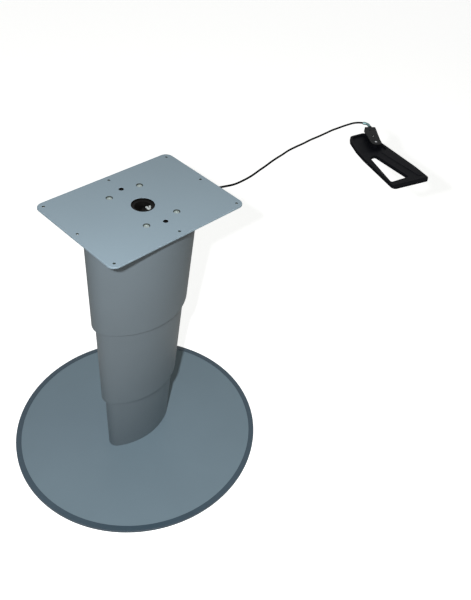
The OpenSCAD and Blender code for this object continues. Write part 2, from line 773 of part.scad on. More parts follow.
// Cable adjuster in the bracket's tab, with its lock nut
adjuster_d = 8;
adjuster_reach = 86;
adjuster_tip = 50;
adjuster_back = -adjuster_reach;
adjuster_front = -adjuster_tip;
knob_d = 10;
knob_l = 6;
knurls = 18;
knurl_d = 1.2;
lock_nut_w = 11;
lock_nut_t = 4;
module cable_adjuster() {
    knob_end = adjuster_back + knob_l;
    color(black) in_bracket() translate([0, horn_r, hook_z]) difference() {
        union() {
            rod_x(adjuster_back, adjuster_front, adjuster_d);
            rod_x(adjuster_back, knob_end, knob_d);
        }
        for (i = [0 : knurls - 1]) rotate([i * 360 / knurls, 0, 0]) translate([0, 0, knob_d / 2])
            rod_x(adjuster_back - over, knob_end + over / 2, knurl_d);
        rod_x(adjuster_back - over, adjuster_front + over, wire_bore_d);
        rod_x(adjuster_back - over, adjuster_back + spigot_l + gap, ferrule_spigot_d + 2 * fit);
    }
}
module adjuster_nut() {
    color(black) in_bracket() translate([tab_s - lock_nut_t, horn_r, hook_z]) difference() {
        rotate([0, 90, 0]) cylinder(h = lock_nut_t, d = 2 * lock_nut_w / sqrt(3), $fn = 6);
        rod_x(-over, lock_nut_t + over, adjuster_d + 2 * fit);
    }
}

// Bent ferrule between the adjuster and the cable, with a collar at each end
ferrule_d = 7;
ferrule_collar_d = 8;
ferrule_spigot_d = 5.3;
spigot_l = 4;
ferrule_bend_r = 9;
ferrule_bend = 70;
ferrule_lap = 3;
ferrule_straight = 12;
ferrule_socket_l = 7;
sheath_seat = 5;
module handle_ferrule() {
    bend_s = adjuster_back - ferrule_straight;
    color(zinc) in_bracket() translate([0, 0, hook_z]) {
        translate([0, horn_r, 0]) {
            rod_x(bend_s, adjuster_back, ferrule_collar_d);
            rod_x(adjuster_back - fit, adjuster_back + spigot_l, ferrule_spigot_d);
        }
        translate([bend_s, horn_r - ferrule_bend_r, 0]) rotate(90) {
            rotate(-ferrule_lap) rotate_extrude(angle = ferrule_bend + 2 * ferrule_lap)
                translate([ferrule_bend_r, 0]) circle(d = ferrule_d);
            rotate(ferrule_bend) translate([ferrule_bend_r, 0, 0]) difference() {
                rod_y(0, ferrule_socket_l, ferrule_collar_d);
                rod_y(ferrule_socket_l - sheath_seat, ferrule_socket_l + over, sheath_d + 4 * fit);
            }
        }
    }
}

// Pivot pin with its head and washer under the lever
washer_d = 16;
washer_t = 1.5;
pivot_head_d = 12;
pivot_head_t = 2;
washer_top = lever_low - gap;
module handle_pivot_pin() {
    head_top = washer_top - washer_t;
    color(bright) in_bracket() {
        translate([0, 0, bracket_z]) cylinder(h = bracket_t, d = stub_d);
        translate([0, 0, head_top]) cylinder(h = bracket_z - head_top, d = pivot_d);
        translate([0, 0, head_top - pivot_head_t]) cylinder(h = pivot_head_t, d = pivot_head_d);
    }
}
module handle_pivot_washer() {
    color(bright) in_bracket() translate([0, 0, washer_top - washer_t]) difference() {
        cylinder(h = washer_t, d = washer_d);
        translate([0, 0, -over]) cylinder(h = washer_t + 2 * over, d = pivot_d + 2 * fit);
    }
}

// Handle lever: a tray with a finger opening, a hub round the pin and a hook for the wire
lever_outline_shares = [[-0.258, -0.324], [-0.175, -0.441], [0.008, -0.541], [0.167, -0.586],
    [0.725, -0.631], [0.725, 0.369], [0.504, 0.360], [-0.008, 0.243], [-0.275, 0.099]];
lever_radius_shares = [0.108, 0.18, 0.27, 0.36, 0.1, 0.08, 0.54, 0.54, 0.08];
opening_shares = [[0.183, -0.432], [0.642, -0.568], [0.625, -0.054], [0.158, -0.243]];
opening_radius_shares = [0.054, 0.036, 0.036, 0.054];
recess_shares = [[-0.235, -0.290], [-0.165, -0.390], [0.100, -0.490], [0.110, 0.190], [-0.004, 0.190],
    [-0.250, 0.060]];
recess_radius_shares = [0.08, 0.108, 0.08, 0.08, 0.08, 0.054];
recess_h = 4;
hub_d = 18.5;
hub_top = bracket_z - gap;
horn_out = 5;
horn_half = 5.5;
horn_clear = 0.5;
horn_top = bracket_z - horn_clear;
hook_d = 5;
hook_h = 4.4;
hook_play = 0.25;
hook_slot = hook_d + 2 * hook_play;
slit_h = 2;
slit_half = 2.5;
function lever_points(shares) = [for (p = shares) [p.x * lever_l, p.y * lever_w]];
module handle_lever() {
    color(black) difference() {
        union() {
            in_lever() difference() {
                translate([0, 0, lever_low]) linear_extrude(height = lever_t)
                    polygon(rounded(lever_points(lever_outline_shares), lever_w * lever_radius_shares));
                translate([0, 0, lever_low - over]) linear_extrude(height = lever_t + 2 * over)
                    polygon(rounded(lever_points(opening_shares), lever_w * opening_radius_shares));
                translate([0, 0, lever_top - recess_h]) linear_extrude(height = recess_h + over)
                    polygon(rounded(lever_points(recess_shares), lever_w * recess_radius_shares));
            }
            in_bracket() {
                translate([0, 0, lever_low]) cylinder(h = hub_top - lever_low, d = hub_d);
                translate([-horn_half, 0, lever_low])
                    cube([2 * horn_half, horn_r + horn_out, horn_top - lever_low]);
            }
        }
        in_bracket() {
            translate([0, 0, lever_low - over]) cylinder(h = hub_top - lever_low + 2 * over, d = pivot_d + 2 * fit);
            translate([0, horn_r, hook_z - hook_h / 2 - gap])
                cylinder(h = horn_top - hook_z + hook_h / 2 + gap + over, d = hook_slot);
            translate([-hook_slot / 2, horn_r, hook_z - hook_h / 2 - gap])
                cube([hook_slot, horn_out + over, horn_top - hook_z + hook_h / 2 + gap + over]);
            translate([-horn_half - over, horn_r - slit_half, hook_z - slit_h / 2])
                cube([horn_half + over, 2 * slit_half, slit_h]);
        }
    }
}
module handle_wire_end() {
    wire_back = adjuster_back + spigot_l + stage_pull;
    color(bright) in_bracket() translate([0, horn_r, hook_z]) {
        translate([0, 0, -hook_h / 2]) cylinder(h = hook_h, d = hook_d);
        rod_x(wire_back, 0, wire_d);
    }
}

// Release cable: the points of its route, each with its depth under the top plate's face, smoothed
// between them, and a tube swept along it
cable_points = [[30.2, 0, 34], [60, 0, 34], [90, 0, 34], [120, 0, 34], [148, 0, 34], [158, -1, 33.5],
    [170, -5, 32],
    [190, -15, 29], [210, -26, 26], [235, -35, 25], [262, -37, 24], [290, -36, 23], [322, -31, 22],
    [346, -27, 22], [370, -23, 21], [395, -19, 21], [419, -16, 21], [444, -13, 20], [472, -12, 20],
    [501, -12, 20], [530, -12, 19], [560, -13, 19], [590, -14, 18], [612, -15, 17], [634, -18, 16],
    [652, -22, 14], [667, -26.5, 12], [679, -31.5, 10], [688.5, -38, 8.5], [695.2, -45.4, 7.5],
    [700.8, -53.4, 7.5]];
cable_route = [for (p = cable_points) [p.x, p.y, column_h - p.z]];
cable_steps = 2;
cable_sides = 10;
function blend(a, b, c, d, t) = 0.5 * (2 * b + (c - a) * t + (2 * a - 5 * b + 4 * c - d) * t * t
    + (3 * b - a - 3 * c + d) * t * t * t);
function smooth(points) = let (n = len(points))
    [for (i = [0 : n - 2], j = [0 : cable_steps - 1])
        blend(points[max(i - 1, 0)], points[i], points[i + 1], points[min(i + 2, n - 1)], j / cable_steps),
    points[n - 1]];
function ring(points, i) = let (
        n = len(points),
        along = unit(points[min(i + 1, n - 1)] - points[max(i - 1, 0)]),
        side = unit(cross(along, [0, 0, 1])),
        up = cross(side, along))
    [for (k = [0 : cable_sides - 1]) let (t = 360 * k / cable_sides)
        points[i] + sheath_d / 2 * (cos(t) * side + sin(t) * up)];
module bowden_cable() {
    path = smooth(cable_route);
    n = len(path);
    points = [for (i = [0 : n - 1]) each ring(path, i)];
    faces = concat(
        [[for (k = [0 : cable_sides - 1]) cable_sides - 1 - k]],
        [for (i = [0 : n - 2], k = [0 : cable_sides - 1]) let (next = (k + 1) % cable_sides)
            [i * cable_sides + k, i * cable_sides + next, (i + 1) * cable_sides + next,
            (i + 1) * cable_sides + k]],
        [[for (k = [0 : cable_sides - 1]) (n - 1) * cable_sides + k]]);
    color(black) polyhedron(points, faces);
}

base_plate();
base_edge_trim();
foot_flange();
foot_screws();
base_post();
base_post_collar();
bottom_cover();
base_belt_clamp();
middle_post();
middle_foot_glide();
middle_flange();
middle_post_collar();
middle_cover();
belt_rail();
pulley_axles();
sync_belt();
spring_seat();
gas_spring_cylinder();
cylinder_nut();
upper_pulley();
lower_pulley();
top_plate();
head_flange();
head_screws();
top_post();
top_foot_glide();
top_cover();
gas_piston();
gas_spring_rod();
release_head();
release_head_screws();
release_lever_pin();
belt_arm();
top_belt_clamp();
head_cable_stop();
cable_grommet();
bowden_cable();
handle_ferrule();
handle_bracket();
cable_adjuster();
adjuster_nut();
handle_pivot_pin();
handle_pivot_washer();
release_pin();
release_lever();
head_wire_end();
handle_lever();
handle_wire_end();
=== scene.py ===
"""Dresses the telescoping pedestal table: painted plates and covers, cable, handle, materials and light."""

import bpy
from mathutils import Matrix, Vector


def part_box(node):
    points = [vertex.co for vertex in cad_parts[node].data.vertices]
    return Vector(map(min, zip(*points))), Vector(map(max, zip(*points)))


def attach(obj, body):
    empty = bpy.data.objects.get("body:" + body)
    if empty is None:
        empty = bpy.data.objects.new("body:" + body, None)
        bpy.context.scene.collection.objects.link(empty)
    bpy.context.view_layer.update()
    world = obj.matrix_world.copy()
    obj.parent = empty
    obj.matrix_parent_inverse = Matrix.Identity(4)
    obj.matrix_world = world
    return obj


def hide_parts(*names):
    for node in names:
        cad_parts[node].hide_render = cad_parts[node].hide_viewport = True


bl_info = {
    "name": "Telescoping pedestal table",
    "version": (1, 0, 0),
    "blender": (4, 5, 0),
    "location": "3D View > Sidebar > Pedestal table",
    "description": "Makes the visible pieces of a three-stage column table on its packed frame",
    "category": "Add Mesh",
}

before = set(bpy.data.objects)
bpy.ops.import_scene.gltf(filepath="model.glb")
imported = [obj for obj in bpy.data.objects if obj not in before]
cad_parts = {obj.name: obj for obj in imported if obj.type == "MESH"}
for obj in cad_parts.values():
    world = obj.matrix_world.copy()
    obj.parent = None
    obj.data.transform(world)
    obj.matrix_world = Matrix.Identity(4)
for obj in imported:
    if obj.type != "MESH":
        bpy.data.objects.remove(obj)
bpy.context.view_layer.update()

from math import atan2, cos, pi, radians, sin, tan

import bmesh
import bpy
from bpy.props import FloatProperty, FloatVectorProperty, IntProperty, PointerProperty
from mathutils import Matrix, Vector

PLATE_LOW, PLATE_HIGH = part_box("top_plate")
FLOOR_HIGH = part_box("base_plate")[1]
TRIM_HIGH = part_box("base_edge_trim")[1]

# Distances within which points are joined: in a new solid, and in a cover or a copied node
WELD = 1e-6
LOOSE_WELD = 2e-6
# Angle below which two faces count as one flat face
FLAT = radians(0.5)
# Play of a pin or a screw in its hole, on the diameter
PLAY = 0.0001
# How far a cutting solid goes past the face that it opens
OVER = 0.002

# How far below the top plate's upper face each part of the release lies
CABLE_DEPTH = 0.034
HOOK_DEPTH = 0.0075
LEVER_TOP_DEPTH = 0.012

# Route of the release cable: along, across, and depth below the top plate's upper face
CABLE_POINTS = (
    (0.0302, 0, 0.034), (0.060, 0, 0.034), (0.090, 0, 0.034), (0.120, 0, 0.034), (0.148, 0, 0.034),
    (0.158, -0.001, 0.0335), (0.170, -0.005, 0.032), (0.190, -0.015, 0.029), (0.210, -0.026, 0.026),
    (0.235, -0.035, 0.025), (0.262, -0.037, 0.024), (0.290, -0.036, 0.023), (0.322, -0.031, 0.022),
    (0.346, -0.027, 0.022), (0.370, -0.023, 0.021), (0.395, -0.019, 0.021), (0.419, -0.016, 0.021),
    (0.444, -0.013, 0.020), (0.472, -0.012, 0.020), (0.501, -0.012, 0.020), (0.530, -0.012, 0.019),
    (0.560, -0.013, 0.019), (0.590, -0.014, 0.018), (0.612, -0.015, 0.017), (0.634, -0.018, 0.016),
    (0.652, -0.022, 0.014), (0.667, -0.0265, 0.012), (0.679, -0.0315, 0.010), (0.6885, -0.038, 0.0085),
    (0.6952, -0.0454, 0.0075), (0.7008, -0.0534, 0.0075),
)

# Handle lever: corners as shares of its length and width, each with its rounding as a share of its width
LEVER_CORNERS = (
    (-0.258, -0.324, 0.108), (-0.175, -0.441, 0.18), (0.008, -0.541, 0.27), (0.167, -0.586, 0.36),
    (0.725, -0.631, 0.1), (0.725, 0.369, 0.08), (0.504, 0.360, 0.54), (-0.008, 0.243, 0.54),
    (-0.275, 0.099, 0.08),
)
OPENING_CORNERS = (
    (0.183, -0.432, 0.054), (0.642, -0.568, 0.036), (0.625, -0.054, 0.036), (0.158, -0.243, 0.054),
)
RECESS_CORNERS = (
    (-0.235, -0.290, 0.08), (-0.165, -0.390, 0.108), (0.100, -0.490, 0.08), (0.110, 0.190, 0.08),
    (-0.004, 0.190, 0.08), (-0.250, 0.060, 0.054),
)
RIB_CORNERS = (
    (0.135, -0.050, 0.04), (0.650, 0.180, 0.08), (0.650, 0.310, 0.08), (0.450, 0.290, 0.3),
    (0.135, 0.200, 0.04),
)

# The CAD nodes of each finish
NODE_FINISHES = {
    "floor_coat": ("base_plate",),
    "inner_coat": ("foot_flange", "middle_flange", "belt_rail", "spring_seat", "base_post"),
    "blackened_steel_and_wall_shade": ("release_head", "head_flange", "top_post"),
    "plated_steel": (
        "middle_post", "base_belt_clamp", "belt_arm", "top_belt_clamp", "release_head_screws",
        "pulley_axles", "foot_screws", "cylinder_nut",
    ),
    "turned_steel": (
        "gas_spring_rod", "release_lever", "release_lever_pin", "release_pin", "head_wire_end",
        "handle_wire_end", "head_cable_stop", "handle_pivot_pin", "handle_pivot_washer",
    ),
    "white_nylon": (
        "base_post_collar", "middle_foot_glide", "middle_post_collar", "top_foot_glide", "upper_pulley",
        "lower_pulley",
    ),
    "spring_coat": ("gas_spring_cylinder",),
    "black_nylon": ("gas_piston", "cable_grommet"),
    "toothed_rubber": ("sync_belt",),
    "cover_coat": ("bottom_cover", "middle_cover", "top_cover"),
    "top_coat": ("top_plate",),
    "screw_coat": ("head_screws",),
    "trim_plastic": ("base_edge_trim",),
    "handle_plastic": ("handle_lever",),
    "bracket_coat": ("handle_bracket", "cable_adjuster", "adjuster_nut"),
    "sheath_vinyl": ("bowden_cable",),
    "zinc_plate": ("handle_ferrule",),
}


# Sizes and colours

def shade(red, green, blue):
    """A screen colour of 0 to 255 as the linear colour that a shader takes."""
    return tuple(
        c / 255 / 12.92 if c <= 10 else ((c / 255 + 0.055) / 1.055) ** 2.4 for c in (red, green, blue)
    )


def colour(name, text, default):
    return FloatVectorProperty(
        name=name, description=text, default=default, subtype="COLOR", min=0, max=1
    )


def length(name, text, default, low=0.0, high=2.0):
    return FloatProperty(
        name=name, description=text, default=default, min=low, max=high, subtype="DISTANCE", unit="LENGTH"
    )


def angle(name, text, default):
    return FloatProperty(
        name=name, description=text, default=default, min=-2 * pi, max=2 * pi, subtype="ANGLE",
        unit="ROTATION",
    )


class CoverSizes(bpy.types.PropertyGroup):
    foot_length: length("Length at the foot", "Length of the oval bottom cover at the floor plate", 0.174)
    foot_width: length("Width at the foot", "Width of the oval bottom cover at the floor plate", 0.080)
    step: length("Step", "Step from the outside of one cover to the next", 0.0088)
    draft: angle("Slope", "Slope of the covers' walls", radians(3))
    wall: length("Wall", "Thickness of a cover", 0.0025)
    lip: length("Lip", "Width of the lip that holds a cover", 0.006)
    lip_height: length("Lip thickness", "Thickness of the lip that holds a cover", 0.003)
    foot_lip_height: length("Foot lip", "Thickness of the bottom cover's lip", 0.0025)
    end_share: FloatProperty(
        name="End radius", description="Radius of the oval's ends as a share of half its width",
        default=0.5, min=0.1, max=0.9,
    )
    rim_round: length("Rim rounding", "Rounding of the covers' edges", 0.0006)
    side_steps: IntProperty(name="Side steps", description="Steps round each long side", default=44, min=8)
    end_steps: IntProperty(name="End steps", description="Steps round each end", default=30, min=8)


class PlateSizes(bpy.types.PropertyGroup):
    corner: length("Corner radius", "Radius of the top plate's corners", 0.018)
    edge_round: length("Edge rounding", "Rounding of the sheet's edges under its paint", 0.0007)
    access: length("Access hole", "Diameter of the hole over the release", 0.050)
    screw_circle: length("Screw circle", "Diameter of the circle of the four head screws", 0.146)
    screw_angle: angle("Screw angle", "Angle of the head screws from the long side", radians(57))
    screw_head: length("Screw head", "Diameter of a head screw's head", 0.015)
    screw_shank: length("Screw shank", "Diameter of a head screw's shank", 0.008)
    screw_sink: length("Screw depth", "Depth of the head screws below the plate's face", 0.0018)
    socket: length("Socket", "Diameter of a head screw's socket", 0.0048)
    socket_depth: length("Socket depth", "Depth of a head screw's socket", 0.0022)
    spare_hole: length("Spare hole", "Diameter of the two open holes", 0.011)
    wood_hole: length("Wood screw hole", "Diameter of the table-top screw holes", 0.006)
    wood_inset: length("Hole inset", "Distance of the table-top screw holes from the edges", 0.014)
    hole_chamfer: length("Hole edge", "How much wider a hole is at the plate's face", 0.0006)


class TrimSizes(bpy.types.PropertyGroup):
    wall: length("Wall", "Thickness of the floor plate's trim", 0.003)
    lip: length("Lip", "Width of the trim's lip on the plate", 0.013)
    edge_round: length("Edge rounding", "Rounding of the trim's edges", 0.00036)


class HandleSizes(bpy.types.PropertyGroup):
    pivot_x: length("Pivot along", "Place of the handle's pivot along the table", 0.636, low=-2)
    pivot_y: length("Pivot across", "Place of the handle's pivot across the table", -0.139, low=-2)
    bracket_turn: angle("Bracket turn", "Direction of the bracket", radians(-125))
    lever_turn: angle("Lever turn", "Direction of the lever at rest", radians(-107))
    lever_length: length("Lever length", "Length of the handle lever", 0.240)
    lever_width: length("Lever width", "Width of the handle lever", 0.111)
    lever_height: length("Lever thickness", "Thickness of the handle lever", 0.009)
    recess: length("Recess", "Depth of the recess in the lever", 0.004)
    rib: length("Rib", "Height of the rib along the lever", 0.001)
    front_run: length("Front bevel", "Length of the bevel at the lever's front edge", 0.006)
    front_drop: length("Front drop", "Height of the bevel at the lever's front edge", 0.0042)
    lever_round: length("Lever rounding", "Rounding of the lever's edges", 0.0011)
    pivot: length("Pivot pin", "Diameter of the pivot pin", 0.008)
    hub: length("Hub", "Diameter of the lever's hub", 0.0185)
    horn_radius: length("Horn radius", "Distance of the wire's hook from the pivot", 0.012)
    horn_width: length("Horn width", "Width of the horn that holds the wire's end", 0.011)
    horn_out: length("Horn end", "Length of the horn past the wire's end", 0.005)
    horn_clear: length("Horn gap", "Gap between the horn and the bracket", 0.0005)
    hub_clear: length("Hub gap", "Gap between the hub and the bracket", 0.0003)
    hook_slot: length("Hook slot", "Width of the horn's slot for the wire's end", 0.0057)
    hook_height: length("Hook height", "Height of the wire's end", 0.0044)
    slit: length("Slit", "Height of the horn's slit for the wire", 0.002)
    sheet: length("Bracket sheet", "Thickness of the bracket", 0.003)


class ReleaseSizes(bpy.types.PropertyGroup):
    tongue_x: length("Tongue along", "Place of the release tongue along the plate", 0.012, low=-2)
    tongue_y: length("Tongue across", "Near face of the tongue across the plate", -0.0095, low=-2)
    tongue_width: length("Tongue width", "Width of the release tongue", 0.003)
    tongue_drop: length("Tongue depth", "Depth of the tongue's top below the plate's face", 0.004)
    sheet: length("Tongue sheet", "Thickness of the tongue", 0.003)
    foot_end: length("Foot end", "Far end of the tongue's foot across the plate", 0.004)
    foot_side: length("Foot side", "How far the foot stands out on each side of the tongue", 0.0005)
    foot_top: length("Foot top", "Depth of the foot's upper face below the plate's face", 0.012)
    foot_sheet: length("Foot sheet", "Thickness of the tongue's foot", 0.0027)


class CableSizes(bpy.types.PropertyGroup):
    sheath: length("Sheath", "Diameter of the cable's sheath", 0.005)
    grommet_hole: length("Grommet hole", "Diameter of the hole in the top cover", 0.012)


class Finishes(bpy.types.PropertyGroup):
    top_paint: colour("Top plate", "Paint of the top plate", shade(133, 151, 163))
    cover_paint: colour("Covers", "Paint of the column's covers", shade(101, 112, 119))
    floor_paint: colour("Floor plate", "Paint of the floor plate", shade(116, 135, 147))
    trim: colour("Edge trim", "Plastic of the floor plate's edge", shade(54, 73, 86))
    handle: colour("Handle", "Plastic of the handle lever", shade(13, 14, 18))
    bracket: colour("Bracket", "Paint of the handle's bracket", shade(15, 16, 18))
    sheath: colour("Cable", "Sheath of the release cable", shade(7, 8, 9))
    zinc: colour("Ferrule", "Zinc of the cable's ferrule", shade(104, 134, 136))
    steel: colour("Bright steel", "Bare and zinc-plated steel", shade(176, 178, 180))
    screws: colour("Head screws", "Coat of the sunk head screws", shade(150, 162, 162))
    # Painted shade: the darker coat of the countersinks and of the table-top screw holes' walls.
    shade_in_small_holes: colour("Countersinks", "Shaded coat in the plate's small holes", shade(48, 56, 52))
    tongue: colour("Release tongue", "Galvanised steel of the tongue", shade(196, 204, 204))
    # Also painted shade: the same near-black finish covers the walls of the access hole and the two open
    # holes.
    dark_steel_and_wall_shade: colour("Dark steel", "Blackened steel inside the head", shade(12, 12, 11))
    spring: colour("Gas spring", "Paint of the gas spring's cylinder", shade(30, 31, 33))
    nylon: colour("Glides", "Plastic of the glides and the pulleys", shade(214, 213, 205))
    dark_nylon: colour("Grommet", "Plastic of the grommet and the piston", shade(34, 34, 36))
    rubber: colour("Belt", "Rubber of the synchronising belt", shade(32, 33, 34))


# Materials

def start_material(name):
    """A new material's node tree, its shader and the coordinates of the piece."""
    material = bpy.data.materials.new(name)
    if material.name != name:
        raise ValueError("two finishes are called " + name)
    material.use_nodes = True
    tree = material.node_tree
    place = tree.nodes.new("ShaderNodeTexCoord")
    return tree, tree.nodes.get("Principled BSDF"), place.outputs["Object"]


def tones(tree, factor, base, shares, positions=(0.0, 1.0)):
    """Colour between a darker and a lighter share of the base, by a pattern's value."""
    ramp = tree.nodes.new("ShaderNodeValToRGB")
    for tone, share, position in zip(ramp.color_ramp.elements, shares, positions):
        tone.position = position
        tone.color = [min(1.0, c * share) for c in base[:3]] + [1]
    tree.links.new(factor, ramp.inputs["Fac"])
    return ramp.outputs["Color"]


def mottled(tree, coordinates, base, spread, scale):
    """Base colour that drifts a little lighter and darker over the surface."""
    noise = tree.nodes.new("ShaderNodeTexNoise")
    noise.inputs["Scale"].default_value = scale
    noise.inputs["Detail"].default_value = 3.0
    tree.links.new(coordinates, noise.inputs["Vector"])
    return tones(tree, noise.outputs["Fac"], base, (1 - spread, 1 + spread), (0.3, 0.7))


def grain(tree, coordinates, shader, scale, depth, detail, stretch=(1, 1, 1)):
    """Fine relief of a paint, a moulding or a rolled sheet."""
    mapping = tree.nodes.new("ShaderNodeMapping")
    mapping.inputs["Scale"].default_value = stretch
    noise = tree.nodes.new("ShaderNodeTexNoise")
    noise.inputs["Scale"].default_value = scale
    noise.inputs["Detail"].default_value = detail
    bump = tree.nodes.new("ShaderNodeBump")
    bump.inputs["Strength"].default_value = 1.0
    bump.inputs["Distance"].default_value = depth
    tree.links.new(coordinates, mapping.inputs["Vector"])
    tree.links.new(mapping.outputs["Vector"], noise.inputs["Vector"])
    tree.links.new(noise.outputs["Fac"], bump.inputs["Height"])
    tree.links.new(bump.outputs["Normal"], shader.inputs["Normal"])
    return noise.outputs["Fac"]


def vary_roughness(tree, factor, shader, low, high):
    span = tree.nodes.new("ShaderNodeMapRange")
    span.inputs["To Min"].default_value = low
    span.inputs["To Max"].default_value = high
    tree.links.new(factor, span.inputs["Value"])
    tree.links.new(span.outputs["Result"], shader.inputs["Roughness"])


def powder_coat(name, base, spread, scale, rough, sheen):
    """Satin powder coat: an orange-peel grain and a faint drift of tone."""
    tree, shader, place = start_material(name)
    tree.links.new(mottled(tree, place, base, spread, scale), shader.inputs["Base Color"])
    peel = grain(tree, place, shader, scale=900, depth=0.00006, detail=2.5)
    vary_roughness(tree, peel, shader, rough - 0.05, rough + 0.08)
    shader.inputs["Specular IOR Level"].default_value = sheen


def moulded_plastic(name, base, spread, scale, depth, rough, sheen):
    """Moulded plastic with a spark-eroded grain."""
    tree, shader, place = start_material(name)
    tree.links.new(mottled(tree, place, base, spread, scale=30), shader.inputs["Base Color"])
    leather = grain(tree, place, shader, scale, depth, detail=4)
    vary_roughness(tree, leather, shader, *rough)
    shader.inputs["Specular IOR Level"].default_value = sheen


def bare_metal(name, base, scale, rough, stretch):
    """Drawn or plated metal with fine lines along its length."""
    tree, shader, place = start_material(name)
    tree.links.new(mottled(tree, place, base, spread=0.08, scale=60), shader.inputs["Base Color"])
    lines = grain(tree, place, shader, scale, depth=0.00003, detail=3, stretch=stretch)
    vary_roughness(tree, lines, shader, *rough)
    shader.inputs["Metallic"].default_value = 1.0


def plated_zinc(name, base):
    """Zinc plate with its passivation's cloudy spangle."""
    tree, shader, place = start_material(name)
    cells = tree.nodes.new("ShaderNodeTexVoronoi")
    cells.inputs["Scale"].default_value = 420
    tree.links.new(place, cells.inputs["Vector"])
    spangle = cells.outputs["Distance"]
    tree.links.new(tones(tree, spangle, base, (0.82, 1.12)), shader.inputs["Base Color"])
    vary_roughness(tree, spangle, shader, 0.28, 0.46)
    shader.inputs["Metallic"].default_value = 0.75


def ribbed_rubber(name, base):
    """Belt rubber with the teeth's fine cross lines."""
    tree, shader, place = start_material(name)
    wave = tree.nodes.new("ShaderNodeTexWave")
    wave.bands_direction = "Z"
    wave.inputs["Scale"].default_value = 160
    bump = tree.nodes.new("ShaderNodeBump")
    bump.inputs["Distance"].default_value = 0.0003
    tree.links.new(place, wave.inputs["Vector"])
    tree.links.new(wave.outputs["Fac"], bump.inputs["Height"])
    tree.links.new(bump.outputs["Normal"], shader.inputs["Normal"])
    tree.links.new(mottled(tree, place, base, spread=0.15, scale=80), shader.inputs["Base Color"])
    shader.inputs["Roughness"].default_value = 0.7


def make_materials(looks):
    # Painted shade: the parts inside the column take the floor plate's paint darkened to four fifths
    floor_paint_in_shade = [c * 0.8 for c in looks.floor_paint]
    for name, base, spread, scale, rough, sheen in (
        ("top_coat", looks.top_paint, 0.02, 4, 0.46, 0.45),
        ("cover_coat", looks.cover_paint, 0.03, 6, 0.40, 0.45),
        ("floor_coat", looks.floor_paint, 0.03, 5, 0.50, 0.45),
        ("screw_coat", looks.screws, 0.06, 90, 0.36, 0.45),
        # Painted shade for the countersinks and the small holes' walls
        ("countersink_shade_coat", looks.shade_in_small_holes, 0.10, 90, 0.60, 0.20),
        ("galvanised_steel", looks.tongue, 0.10, 60, 0.30, 0.45),
        ("inner_coat", floor_paint_in_shade, 0.05, 12, 0.50, 0.45),
        ("spring_coat", looks.spring, 0.10, 20, 0.30, 0.45),
        # Near-black steel of the release parts, also painted shade on the top plate's hole walls
        ("blackened_steel_and_wall_shade", looks.dark_steel_and_wall_shade, 0.25, 60, 0.60, 0.12),
        ("bracket_coat", looks.bracket, 0.10, 40, 0.38, 0.06),
    ):
        powder_coat(name, base, spread, scale, rough, sheen)
    for name, base, spread, scale, depth, rough, sheen in (
        ("trim_plastic", looks.trim, 0.05, 1400, 0.00003, (0.34, 0.48), 0.50),
        ("handle_plastic", looks.handle, 0.10, 1100, 0.00010, (0.42, 0.60), 0.04),
        ("sheath_vinyl", looks.sheath, 0.10, 1500, 0.00004, (0.30, 0.42), 0.04),
        ("white_nylon", looks.nylon, 0.03, 600, 0.00003, (0.40, 0.52), 0.50),
        ("black_nylon", looks.dark_nylon, 0.08, 700, 0.00004, (0.36, 0.50), 0.50),
    ):
        moulded_plastic(name, base, spread, scale, depth, rough, sheen)
    bare_metal("plated_steel", looks.steel, scale=700, rough=(0.22, 0.36), stretch=(1, 1, 0.04))
    bare_metal("turned_steel", looks.steel, scale=1200, rough=(0.18, 0.30), stretch=(1, 1, 1))
    plated_zinc("zinc_plate", looks.zinc)
    ribbed_rubber("toothed_rubber", looks.rubber)


# Modelling

def oval_ring(bm, half_length, half_width, z, sizes):
    """Edges of an oval of two flat sides and two round ends, each an arc of one turned point."""
    end_r = sizes.end_share * half_width
    side_r = (half_length ** 2 + half_width ** 2 - 2 * half_length * end_r) / (2 * (half_width - end_r))
    side = atan2(half_length - end_r, side_r - half_width)
    point = bm.verts.new((-side_r * sin(side), half_width - side_r + side_r * cos(side), z))
    start, before = point, set(bm.edges)
    for centre, turn, steps in (
        ((0, half_width - side_r, z), 2 * side, sizes.side_steps),
        ((half_length - end_r, 0, z), pi - 2 * side, sizes.end_steps),
        ((0, side_r - half_width, z), 2 * side, sizes.side_steps),
        ((end_r - half_length, 0, z), pi - 2 * side, sizes.end_steps),
    ):
        made = bmesh.ops.spin(bm, geom=[point], cent=centre, axis=(0, 0, -1), angle=turn, steps=steps)
        point = next(v for v in made["geom_last"] if isinstance(v, bmesh.types.BMVert))
    bmesh.ops.pointmerge(bm, verts=[start, point], merge_co=start.co)
    return [edge for edge in bm.edges if edge not in before]


def soften(bm, width, segments=2, least=radians(30)):
    """Rounds the edges whose faces meet at more than the least angle."""
    sharp = [e for e in bm.edges if e.is_manifold and e.calc_face_angle(0) > least]
    bmesh.ops.bevel(
        bm, geom=sharp, offset=width, offset_type="OFFSET", segments=segments, profile=0.5,
        affect="EDGES", material=-1, clamp_overlap=True, loop_slide=True,
    )


def turned(bm, profile, place=Matrix.Identity(4), steps=64, closed=False):
    """A lathe piece: the profile of radius and height is spun about the place's Z axis."""
    before = set(bm.verts)
    points = [bm.verts.new((r, 0, z)) for r, z in profile]
    lines = [bm.edges.new(pair) for pair in zip(points, points[1:])]
    if closed:
        lines.append(bm.edges.new((points[-1], points[0])))
    bmesh.ops.spin(
        bm, geom=points + lines, cent=(0, 0, 0), axis=(0, 0, 1), angle=2 * pi, steps=steps, use_merge=True
    )
    made = [v for v in bm.verts if v not in before]
    bmesh.ops.remove_doubles(bm, verts=made, dist=WELD)
    made = [v for v in bm.verts if v not in before]
    bmesh.ops.transform(bm, matrix=place, verts=made)


